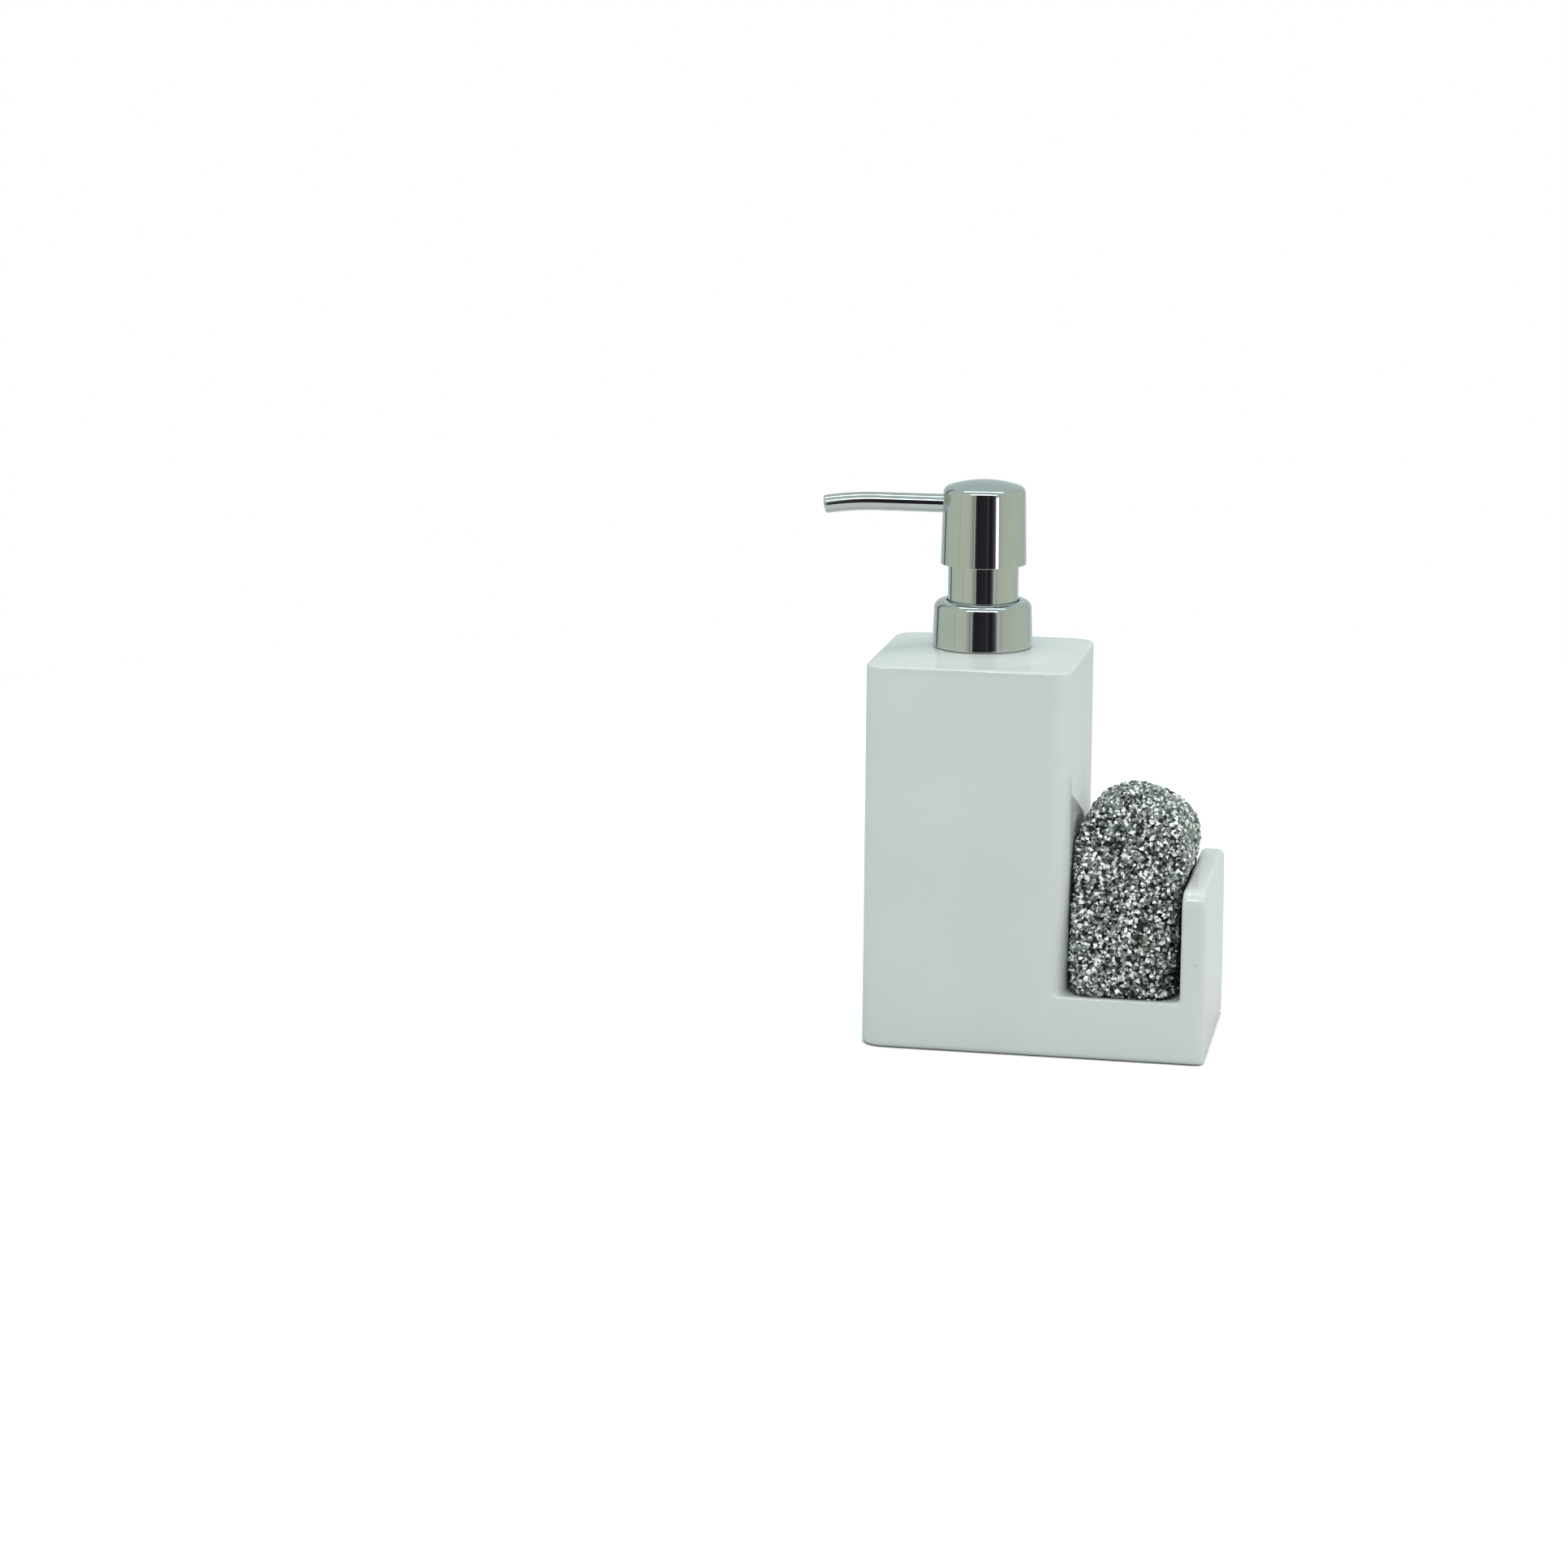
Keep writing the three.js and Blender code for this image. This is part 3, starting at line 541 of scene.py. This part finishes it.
ceramic = {
    "towerRight": 11.7, "wallInner": 49.9, "trayTop": 21.3, "wallTop": 59.5, "towerTop": 131.1,
    "towerCorner": 8, "towerCornerSteps": 10, "wallCorner": 5.5, "wallCornerSteps": 8,
    "wallEdge": 1.8, "wallEdgeSteps": 4, "baseEdge": 1.5, "baseEdgeSteps": 5,
    "voxel": 0.6, "softening": 6, "keptFaces": 0.45,
    # how far the tower draws in and the end wall leans, and how far past its face the tower counts
    "draft": 0.35, "lean": 0.5, "towerSlack": 0.5,
    # the crown sets in over shares of the tower's height, and the rise over millimetres from the pump's axis
    "crown": 1.7, "crownStart": 0.96, "crownRun": 0.03, "rise": 0.92, "riseReach": 34, "riseRun": 16,
    # rounds of smoothing on the tray's lips, how far off it is full, how it fades, and its ends along x
    "lipSoftening": 8, "lipReach": 2, "lipFade": 4, "lipLeft": 3, "lipPast": 3, "lipEndRun": 3,
    "wall": 5, "floor": 5.5, "roof": 5.5, "spaceEdge": 3, "spaceEdgeSteps": 3,
    "neckHole": 14.3, "seatRadius": 15.5, "seatHeight": 131.7,
    "holeBelow": 12, "holeAbove": 8, "holeSides": 72,
}


def settleCasting(body, left, right, back):
    # walls draw in a little as they rise, the end wall leans in, and the top is crowned up to the collar
    plan = ceramic
    middle, half = (left + plan["towerRight"]) / 2, (plan["towerRight"] - left) / 2
    for corner in body.data.vertices:
        x, y, z = corner.co / mm
        if x < plan["towerRight"] + plan["towerSlack"]:
            up = max(z - plan["trayTop"], 0) / (plan["towerTop"] - plan["trayTop"])
            aside, ahead = min(abs(x - middle) / half, 1), min(abs(y) / back, 1)
            top = min(max(up - plan["crownStart"], 0) / plan["crownRun"], 1)
            x -= plan["draft"] * up * (x - middle) / half
            y -= plan["draft"] * up * y / back
            z += plan["crown"] * top * (1 - aside ** 2) * (1 - ahead ** 2)
            inward = min(max(plan["riseReach"] - math.hypot(x - middle, y), 0) / plan["riseRun"], 1)
            z += plan["rise"] * top * inward ** 2 * (3 - 2 * inward)
        elif x > plan["wallInner"]:
            up = max(z - plan["trayTop"], 0) / (plan["wallTop"] - plan["trayTop"])
            x -= plan["lean"] * up * (x - plan["wallInner"]) / (right - plan["wallInner"])
        corner.co = Vector((x, y, z)) * mm


def easeLips(body, back):
    # the tray's front and back lips are softer than the other edges
    plan = ceramic
    lips = body.vertex_groups.new(name="lips")
    for corner in body.data.vertices:
        x, y, z = corner.co / mm
        level = 1 - max(abs(z - plan["trayTop"]) - plan["lipReach"], 0) / plan["lipFade"]
        edge = 1 - max(back - plan["lipReach"] - abs(y), 0) / plan["lipFade"]
        along = min(x - plan["lipLeft"], plan["wallInner"] + plan["lipPast"] - x) / plan["lipEndRun"]
        share = min(level, edge, along, 1)
        if share > 0:
            lips.add([corner.index], share, "REPLACE")
    modify(body, "SMOOTH", factor=0.5, iterations=plan["lipSoftening"], vertex_group="lips")


def makeCeramic(finish):
    low, high = [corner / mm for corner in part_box("ceramic_body")]
    plan = ceramic
    left, right, front, back = low.x, high.x, low.y, high.y
    pumpX = (left + plan["towerRight"]) / 2
    body = addBlock("ceramicBody", (left, front, 0), (right, back, plan["trayTop"]))
    for x in (plan["towerRight"], plan["wallInner"]):
        bpy.ops.mesh.select_all(action="SELECT")
        bpy.ops.mesh.bisect(plane_co=(x * mm, 0, 0), plane_no=(1, 0, 0))
    pick("FACE", lambda a, b: near(a.z, plan["trayTop"]) and b.x < plan["towerRight"] + 0.1)
    pull(z=plan["towerTop"] - plan["trayTop"])
    pick("FACE", lambda a, b: near(a.z, plan["trayTop"]) and a.x > plan["wallInner"] - 0.1)
    pull(z=plan["wallTop"] - plan["trayTop"])

    # upright corners of the tower, then the top corners of the end wall
    def onTowerCorner(a, b):
        leftEdge = near(a.x, left) and near(b.x, left)
        rightFace = near(a.x, plan["towerRight"]) and near(b.x, plan["towerRight"])
        rightEdge = rightFace and b.z > plan["trayTop"] + 1
        return (leftEdge or rightEdge) and near(a.y, b.y) and near(abs(a.y), back)

    pick("EDGE", onTowerCorner)
    roundEdges(plan["towerCorner"], plan["towerCornerSteps"])
    pick("EDGE", lambda a, b: near(a.z, plan["wallTop"]) and near(a.y, b.y) and near(abs(a.y), back))
    roundEdges(plan["wallCorner"], plan["wallCornerSteps"])

    # the end wall's outline, outside and inside, and the edge that the body stands on
    def onInnerWall(a, b):
        innerFace = near(a.x, plan["wallInner"]) and near(b.x, plan["wallInner"])
        return innerFace and b.z > plan["trayTop"] + 0.1

    pick("EDGE", lambda a, b: near(a.x, right) and b.z > 0.1)
    roundEdges(plan["wallEdge"], plan["wallEdgeSteps"])
    pick("EDGE", onInnerWall)
    roundEdges(plan["wallEdge"], plan["wallEdgeSteps"])

    def onFoot(a, b):
        acrossBase = near(a.x, b.x) and (near(a.x, plan["towerRight"]) or near(a.x, plan["wallInner"]))
        return near(b.z, 0) and not acrossBase

    pick("EDGE", onFoot)
    roundEdges(plan["baseEdge"], plan["baseEdgeSteps"])

    bpy.ops.object.mode_set(mode="OBJECT")
    modify(body, "REMESH", mode="VOXEL", voxel_size=plan["voxel"] * mm)
    modify(body, "SMOOTH", factor=0.5, iterations=plan["softening"])
    easeLips(body, back)
    settleCasting(body, left, right, back)
    modify(body, "DECIMATE", ratio=plan["keptFaces"])

    # soap space, seat and hole of the neck
    space = addBlock(
        "soapSpace", (left + plan["wall"], front + plan["wall"], plan["floor"]),
        (plan["towerRight"] - plan["wall"], back - plan["wall"], plan["towerTop"] - plan["roof"]))
    bpy.ops.mesh.select_mode(type="EDGE")
    bpy.ops.mesh.select_all(action="SELECT")
    roundEdges(plan["spaceEdge"], plan["spaceEdgeSteps"])
    cut(body, space)
    holeEnd = (pumpX, 0, plan["towerTop"] + plan["holeAbove"])
    holeStart = (pumpX, 0, plan["towerTop"] - plan["holeBelow"])
    cut(body, addRod("neckHole", plan["neckHole"], holeStart, holeEnd, plan["holeSides"]))
    seatStart = (pumpX, 0, plan["seatHeight"])
    cut(body, addRod("neckSeat", plan["seatRadius"], seatStart, holeEnd, plan["holeSides"]))
    closeUp(body, 35)
    paint(body, finish)
    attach(body, "dispenser_body")
    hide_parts("ceramic_body")
    return pumpX


pumpX = makeCeramic(mixGlaze())
print("ceramic body made")


# Bright plating of the pump

chrome = {
    "colour": (0.575, 0.588, 0.588), "dull": (0.52, 0.54, 0.54),
    "filmScale": 90.0, "filmLow": 0.4, "filmHigh": 0.75, "filmShare": 0.5,
    "gloss": 0.02, "glossSpread": 0.03, "glossScale": 160.0,
    "rippleScale": 120.0, "rippleDepth": 0.008, "rippleStrength": 0.25,
}


def mixChrome():
    plan = chrome
    finish, bench = newFinish("brightPlating")
    place = bench.place()
    film = bench.noise(place, plan["filmScale"], 4.0)
    share = bench.remap(film, plan["filmLow"], plan["filmHigh"], 0, plan["filmShare"])
    tone = bench.mix(share, (*plan["colour"], 1), (*plan["dull"], 1))
    polish = bench.noise(place, plan["glossScale"], 3.0) * plan["glossSpread"] + plan["gloss"]
    ripple = bench.bump(
        bench.noise(place, plan["rippleScale"], 1.0), plan["rippleDepth"] * mm, plan["rippleStrength"])
    bench.surface(Base_Color=tone, Metallic=1.0, Roughness=polish, Normal=ripple)
    return finish


pump = {
    "steps": 128, "edge": 0.25, "collarEdge": 2.8, "collarWall": 1.0, "collarTaper": 0.45, "collarLift": 0.7,
    "headWall": 1.0, "rimEdge": 0.08, "rimLift": 0.8, "linerGap": 0.4, "sleeveGap": 0.5, "sleeveWall": 0.7,
    "crisp": 0.12,  # a narrow loop beside an edge keeps its shading tight
}
head = {
    "topRadius": 13.9, "side": 24.7, "shoulder": 2.6, "sweep": 70,
    "dome": 1.96, "domeShares": (0.85, 0.7, 0.55, 0.4, 0.25, 0.12, 0.0),
    "rimPoints": 8,  # the outline's first points, which the inner wall doesn't follow
    "spoutHeight": 20.8, "spoutHole": 3.4, "holeSides": 64,
}
spout = {
    "radius": 3.1, "bore": 2.2, "boreDepth": 7, "boreEdge": 0.15, "boreStep": 0.2, "lip": 0.45, "lipSteps": 5,
    "root": 6, "straight": 36, "straightSteps": 8, "reach": 54.7, "bend": 110, "bendSteps": 20, "sides": 48,
}


def makeCollar(finish):
    low, high = [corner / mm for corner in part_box("collar_shell")]
    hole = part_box("guide_sleeve")[1].x / mm - pumpX + pump["sleeveGap"]
    radius = (high.x - low.x) / 2
    wall, edge, fine = pump["collarWall"], pump["collarEdge"], pump["edge"]
    bore = radius - wall
    top, foot = radius - pump["collarTaper"], low.z + pump["collarLift"]
    outline = [(bore, foot)]
    outline += arc((radius - fine, foot + fine), fine, -90, 0, 4)
    outline += [(radius, foot + fine + pump["crisp"])]
    outline += between(outline[-1], (top, high.z - edge), 8)[1:]
    outline += arc((top - edge, high.z - edge), edge, 0, 90, 14)[1:]
    outline += arc((hole + fine, high.z - fine), fine, 90, 180, 4)
    outline += [(hole, high.z - wall), (bore - edge + wall, high.z - wall), (bore, high.z - edge)]
    collar = turnOutline("screwCollar", outline, pumpX, pump["steps"])
    paint(collar, finish)
    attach(collar, "collar")
    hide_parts("collar_shell")
    # the liner ends inside the raised foot
    liner = copyNode("collar_liner", "collarLiner")
    level = (foot + pump["linerGap"]) * mm
    bpy.ops.mesh.bisect(plane_co=(0, 0, level), plane_no=(0, 0, 1), use_fill=True, clear_inner=True)
    bpy.ops.object.mode_set(mode="OBJECT")
    closeUp(liner, 30)
    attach(liner, "collar")
    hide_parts("collar_liner")
    return liner


def makeSleeve(finish):
    low, high = [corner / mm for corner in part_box("guide_sleeve")]
    radius = (high.x - low.x) / 2
    bore = radius - pump["sleeveWall"]
    outline = between((radius, low.z), (radius, high.z), 12) + [(bore, high.z), (bore, low.z)]
    sleeve = turnOutline("guideSleeve", outline, pumpX, pump["steps"])
    paint(sleeve, finish)
    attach(sleeve, "pump_unit")
    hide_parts("guide_sleeve")


def makeHead(finish):
    low, high = [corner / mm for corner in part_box("actuator_shell")]
    rim = (high.x - low.x) / 2
    top, shoulder, wall, edge = head["topRadius"], head["shoulder"], pump["headWall"], pump["rimEdge"]
    sideTop, foot = low.z + head["side"], low.z + pump["rimLift"]
    outside = arc((rim - edge, foot + edge), edge, -60, 0, 5)
    outside += [(rim, foot + edge + pump["crisp"])]
    outside += between(outside[-1], (top, sideTop), 26)[1:]
    outside += arc((top - shoulder, sideTop), shoulder, 0, head["sweep"], 12)[1:]
    domeRadius, domeStart = outside[-1]
    for share in head["domeShares"]:
        outside.append((domeRadius * share, domeStart + head["dome"] * (1 - share * share)))
    followed = outside[head["rimPoints"]:]
    inner = [(max(radius - wall, 0), height - wall) for radius, height in followed]
    outline = outside + inner[::-1] + [(rim - wall, foot + edge)]
    shell = turnOutline("pumpHead", outline, pumpX, pump["steps"])
    spoutZ = low.z + head["spoutHeight"]
    holeStart, holeEnd = (pumpX - 2 * rim, 0, spoutZ), (pumpX - rim / 2, 0, spoutZ)
    cut(shell, addRod("spoutHole", head["spoutHole"], holeStart, holeEnd, head["holeSides"]))
    closeUp(shell, 35)
    paint(shell, finish)
    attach(shell, "pump_head")
    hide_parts("actuator_shell")
    return spoutZ


def makeSpout(finish, spoutZ):
    plan = spout
    deselectAll()
    start = pumpX - plan["root"]
    bpy.ops.mesh.primitive_circle_add(
        vertices=plan["sides"], radius=plan["radius"] * mm, location=(start * mm, 0, spoutZ * mm),
        rotation=(0, math.pi / 2, 0))
    tube = openPiece("spoutTube")
    for step in range(plan["straightSteps"]):
        pull(x=(plan["root"] - plan["straight"]) / plan["straightSteps"])
    bend = (plan["reach"] - plan["straight"]) / plan["bend"]
    elbow = (pumpX - plan["straight"], 0, spoutZ - plan["bend"])
    bpy.ops.mesh.spin(
        steps=plan["bendSteps"], angle=bend - plan["lip"] / plan["bend"],
        center=[c * mm for c in elbow], axis=(0, 1, 0))
    tip = Vector((
        elbow[0] - plan["bend"] * math.sin(bend), 0, elbow[2] + plan["bend"] * math.cos(bend)))
    outward = Vector((-math.cos(bend), 0, -math.sin(bend)))
    # rounded lip, then back into the bore
    radius, reach = plan["radius"], -plan["lip"]
    bore = plan["bore"]
    lip = arc((plan["radius"] - plan["lip"], -plan["lip"]), plan["lip"], 0, 90, plan["lipSteps"])[1:]
    lip += [(bore + plan["boreEdge"], 0), (bore, -plan["boreStep"]), (bore, -plan["boreDepth"])]
    for nextRadius, nextReach in lip:
        forward = outward * (nextReach - reach)
        pull(x=forward.x, z=forward.z)
        centre = tip + outward * nextReach
        swell([nextRadius / radius] * 3, centre)
        radius, reach = nextRadius, nextReach
    bpy.ops.mesh.edge_face_add()
    pick("VERT", lambda a, b: near(a.x, start))
    bpy.ops.mesh.edge_face_add()
    bpy.ops.object.mode_set(mode="OBJECT")
    closeUp(tube, 50)
    paint(tube, finish)
    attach(tube, "pump_head")
    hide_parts("spout_tube")


def makeSpring():
    # a copy of the spring with its own mesh; the press's travel is read, but nothing here shortens the spring
    low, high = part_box("return_spring")
    press = [joint for joint in frame["record"]["behaviour"]["joints"] if joint["name"] == "pump_press"][0]
    spring = copyNode("return_spring", "returnSpring")
    bpy.ops.object.mode_set(mode="OBJECT")
    closeUp(spring, 50)
    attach(spring, "pump_unit")
    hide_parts("return_spring")
    length = high.z - low.z
    1 - press["range_m"][1] / length
    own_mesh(spring)
    return spring


plating = mixChrome()
returnSpring = makeSpring()
collarLiner = makeCollar(plating)
makeSleeve(plating)
spoutZ = makeHead(plating)
makeSpout(plating, spoutZ)
print("pump made")


# Sponge: a foam block in a cover knitted from crushed foil strip

sponge = {
    "sunk": 0.75, "smoothing": 2, "lumps": 0.8, "lumpSize": 22, "lumpLevel": 0.6,
    "air": 0.2, "deeper": 1.03, "slump": 3,
    "spacing": 1.48, "nubRadius": 1.34, "nubSides": 6, "nubRings": 4, "nubSpread": 0.2, "crush": 0.22,
    "seed": 7,
}
foil = {
    "dark": (0.06, 0.066, 0.063), "middle": (0.34, 0.36, 0.35), "bright": (0.95, 0.97, 0.96),
    # which part of the facets, by chance from 0 to 1, is dark, of the middle tone and bright
    "darkUpTo": 0.1, "middleFrom": 0.42, "middleUpTo": 0.72, "brightFrom": 0.82,
    "brightMetal": 0.35, "gloss": 0.2, "glossSpread": 0.1,
    "creaseScale": 1300.0, "creaseDepth": 0.12, "creaseStrength": 0.6,
    # painted shade where the cover is shut in, each place from where it starts to where it is full
    "shade": 0.72, "byWall": (43.5, 48.5), "byWallTop": (62, 52), "byTower": (12, 9), "atFoot": (25, 22),
    "inCorners": (34, 22), "cornerReach": 8,
    "spared": (0.88, 0.94),  # by the same chance, the facets that stay bright there
}
knitGround = {
    "colour": (0.012, 0.014, 0.013), "lift": 2.2, "metal": 0.3, "weaveScale": 900.0, "weaveDepth": 0.3,
    "weaveStrength": 0.8, "rough": 0.5, "roughSpread": 0.2, "roughScale": 300.0,
}


def mixFoil():
    plan = foil
    finish, bench = newFinish("crushedFoil")
    place = bench.place()
    chance = bench.add("ShaderNodeAttribute", {"attribute_name": "tone"}, out="Fac")
    stops = [
        (plan["darkUpTo"], plan["dark"]), (plan["middleFrom"], plan["middle"]),
        (plan["middleUpTo"], plan["middle"]), (plan["brightFrom"], plan["bright"])]
    tone = bench.add("ShaderNodeValToRGB", {"stops": stops}, {"Fac": chance}, "Color")

    def fade(value, ends, full=1):
        return bench.remap(value, ends[0] * mm, ends[1] * mm, 0, full)

    # painted shade, towards the ground's dark colour, where the cover presses against the end wall, low down
    # by the tower, and at its foot
    x = bench.add("ShaderNodeSeparateXYZ", {}, {0: place}, "X")
    z = bench.add("ShaderNodeSeparateXYZ", {}, {0: place}, "Z")
    corner = fade(z, plan["inCorners"], plan["cornerReach"] * mm)
    byWall = fade(x + corner, plan["byWall"]) * fade(z, plan["byWallTop"])
    byTower = fade(x - corner, plan["byTower"])
    atFoot = fade(z, plan["atFoot"])
    shadedPlaces = byWall.work("MAXIMUM", byWall, byTower)
    shadedPlaces = shadedPlaces.work("MAXIMUM", shadedPlaces, atFoot)
    sparedFrom, sparedFull = plan["spared"]
    shade = shadedPlaces * bench.remap(chance, sparedFrom, sparedFull, plan["shade"], 0)
    tone = bench.mix(shade, tone, (*knitGround["colour"], 1))
    # the brightest facets catch the light from anywhere
    metal = bench.remap(chance, plan["middleUpTo"], plan["brightFrom"], 1.0, plan["brightMetal"])
    polish = chance * plan["glossSpread"] + plan["gloss"]
    crease = bench.bump(
        bench.noise(place, plan["creaseScale"], 1.0), plan["creaseDepth"] * mm, plan["creaseStrength"])
    bench.surface(Base_Color=tone, Metallic=metal, Roughness=polish, Normal=crease)
    return finish


def mixKnitGround():
    plan = knitGround
    finish, bench = newFinish("knitGround")
    place = bench.place()
    weave = bench.noise(place, plan["weaveScale"], 2.0)
    lifted = [c * plan["lift"] for c in plan["colour"]]
    tone = bench.mix(weave, (*plan["colour"], 1), (*lifted, 1))
    rough = bench.noise(place, plan["roughScale"], 2.0) * plan["roughSpread"] + plan["rough"]
    relief = bench.bump(weave, plan["weaveDepth"] * mm, plan["weaveStrength"])
    bench.surface(Base_Color=tone, Metallic=plan["metal"], Roughness=rough, Normal=relief)
    return finish


def makeSpongeForm(finish):
    # the foam core's copy grows to just under the knit, and is rounded and dented a little
    form = copyNode("sponge_core", "spongeBlock")
    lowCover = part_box("sponge_cover")[0].z / mm
    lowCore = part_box("sponge_core")[0].z / mm
    bpy.ops.transform.shrink_fatten(
        value=(lowCore - lowCover - sponge["sunk"]) * mm, use_even_offset=True)
    # it slumps on the tray: what goes below is pressed flat later
    low, high = [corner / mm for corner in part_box("sponge_cover")]
    swell((1, sponge["deeper"], 1 + sponge["slump"] / (high.z - low.z)), (0, 0, high.z))
    bpy.ops.object.mode_set(mode="OBJECT")
    modify(form, "SUBSURF", levels=3, render_levels=3, subdivision_type="SIMPLE")
    modify(form, "SMOOTH", factor=0.5, iterations=sponge["smoothing"])
    lumps = bpy.data.textures.new("spongeLumps", "CLOUDS")
    lumps.noise_scale = sponge["lumpSize"] * mm
    modify(
        form, "DISPLACE", texture=lumps, texture_coords="LOCAL", strength=sponge["lumps"] * mm,
        mid_level=sponge["lumpLevel"])
    closeUp(form, 80)
    paint(form, finish)
    return form


def makeNub():
    # a crushed bead with flat sides
    deselectAll()
    bpy.ops.mesh.primitive_uv_sphere_add(
        segments=sponge["nubSides"], ring_count=sponge["nubRings"], radius=sponge["nubRadius"] * mm)
    nub = openPiece("foilNub")
    bpy.ops.transform.vertex_random(
        offset=sponge["crush"] * sponge["nubRadius"] * mm, uniform=1.0, seed=sponge["seed"])
    # tones go by the facets' order, which is put right here because it can change from run to run
    bpy.ops.mesh.sort_elements(type="CURSOR_DISTANCE", elements={"FACE"})
    bpy.ops.object.mode_set(mode="OBJECT")
    return nub


def scatterNubs(form, nub, finish):
    # nubs at an even spacing, each turned and sized by chance, and each facet toned by chance
    deselectAll()
    form.select_set(True)
    bpy.context.view_layer.objects.active = form
    bpy.ops.object.duplicate()
    cover = bpy.context.object
    cover.name = "knitCover"
    tree = bpy.data.node_groups.new("nubScatter", "GeometryNodeTree")
    tree.interface.new_socket("Geometry", in_out="INPUT", socket_type="NodeSocketGeometry")
    tree.interface.new_socket("Geometry", in_out="OUTPUT", socket_type="NodeSocketGeometry")
    bench = Bench(tree)
    ground = bench.add("NodeGroupInput")
    spacing = sponge["spacing"] * mm
    points = bench.add(
        "GeometryNodeDistributePointsOnFaces", {"distribute_method": "POISSON"},
        {"Mesh": ground, "Distance Min": spacing, "Density Max": 4 / spacing ** 2, "Seed": sponge["seed"]})
    shape = bench.add("GeometryNodeObjectInfo", {}, {"Object": nub}, "Geometry")
    full = 2 * math.pi
    turn = bench.add(
        "FunctionNodeRandomValue", {"data_type": "FLOAT_VECTOR"},
        {0: (0, 0, 0), 1: (full, full, full), "Seed": sponge["seed"]})
    least, most = 1 - sponge["nubSpread"], 1 + sponge["nubSpread"]
    size = bench.add(
        "FunctionNodeRandomValue", {"data_type": "FLOAT_VECTOR"},
        {0: (least, least, least), 1: (most, most, most), "Seed": sponge["seed"] + 1})
    nubs = bench.add(
        "GeometryNodeInstanceOnPoints", {},
        {"Points": points, "Instance": shape, "Rotation": turn, "Scale": size})
    real = bench.add("GeometryNodeRealizeInstances", {}, {"Geometry": nubs})
    number = bench.add("GeometryNodeInputIndex")
    chance = bench.add(
        "FunctionNodeRandomValue", {"data_type": "FLOAT"},
        {2: 0.0, 3: 1.0, "ID": number, "Seed": sponge["seed"] + 2}, 1)
    toned = bench.add(
        "GeometryNodeStoreNamedAttribute", {"data_type": "FLOAT", "domain": "FACE"},
        {"Geometry": real, "Name": "tone", "Value": chance})
    bench.add("NodeGroupOutput", {}, {"Geometry": toned})
    modify(cover, "NODES", node_group=tree)
    bpy.data.objects.remove(nub)
    paint(cover, finish)
    return cover


def pressFlat(piece):
    # where the sponge leans on the tower, the tray or the end wall, what stands proud is pressed flat
    plan, air = ceramic, sponge["air"]
    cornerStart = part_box("ceramic_body")[1].y / mm - plan["towerCorner"]
    for corner in piece.data.vertices:
        x, y, z = corner.co / mm
        beyond = max(abs(y) - cornerStart, 0)
        tower = plan["towerRight"]
        if beyond:
            tower += math.sqrt(max(plan["towerCorner"] ** 2 - beyond ** 2, 0)) - plan["towerCorner"]
        x = max(x, tower + air)
        if z < plan["wallTop"] + air:
            x = min(x, plan["wallInner"] - air)
        corner.co = Vector((x, y, max(z, plan["trayTop"] + air))) * mm


block = makeSpongeForm(mixKnitGround())
cover = scatterNubs(block, makeNub(), mixFoil())
pressFlat(block)
pressFlat(cover)
for piece, node, slot in ((block, "sponge_core", "foam"), (cover, "sponge_cover", "foil_knit")):
    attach(piece, "sponge")
    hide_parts(node)
aimLamps(["frontGloss", "overheadGloss"], [bpy.data.objects["ceramicBody"], block, cover])
aimLamps(["headStrip"], [bpy.data.objects["pumpHead"]])
print("sponge made:", len(cover.data.polygons), "faces of foil")


# Plastics, rubber and steel inside the pump

inside = {
    "white_plastic": {"colour": (0.76, 0.77, 0.74), "rough": 0.42, "metal": 0.0},
    "seal_plastic": {"colour": (0.80, 0.79, 0.74), "rough": 0.50, "metal": 0.0},
    "tube_plastic": {"colour": (0.74, 0.77, 0.76), "rough": 0.30, "metal": 0.0},
    "gasket_rubber": {"colour": (0.020, 0.020, 0.022), "rough": 0.65, "metal": 0.0},
    "spring_steel": {"colour": (0.55, 0.56, 0.57), "rough": 0.22, "metal": 1.0},
}
# what all of them share
moulding = {
    "cloudScale": 140.0, "cloudShade": 0.92, "roughSpread": 0.12,
    "grainScale": 2200.0, "grainDepth": 0.03, "grainStrength": 0.4,
}


def mixInside(name, plan):
    finish, bench = newFinish(name)
    place = bench.place()
    cloud = bench.noise(place, moulding["cloudScale"], 3.0)
    shaded = [c * moulding["cloudShade"] for c in plan["colour"]]
    tone = bench.mix(cloud, (*shaded, 1), (*plan["colour"], 1))
    grain = bench.noise(place, moulding["grainScale"], 2.0)
    spread = moulding["roughSpread"]
    rough = cloud * spread + (plan["rough"] - spread / 2)
    relief = bench.bump(grain, moulding["grainDepth"] * mm, moulding["grainStrength"])
    bench.surface(Base_Color=tone, Roughness=rough, Metallic=plan["metal"], Normal=relief)
    return finish


insideFinishes = {slot: mixInside(slot, plan) for slot, plan in inside.items()}
for part in frame["record"]["subparts"]:
    if part["material_slot"] in insideFinishes:
        paint(frame["nodes"][part["node"]], insideFinishes[part["material_slot"]])
paint(collarLiner, insideFinishes["white_plastic"])
paint(returnSpring, insideFinishes["spring_steel"])
print("inner pieces finished")


deselectAll()
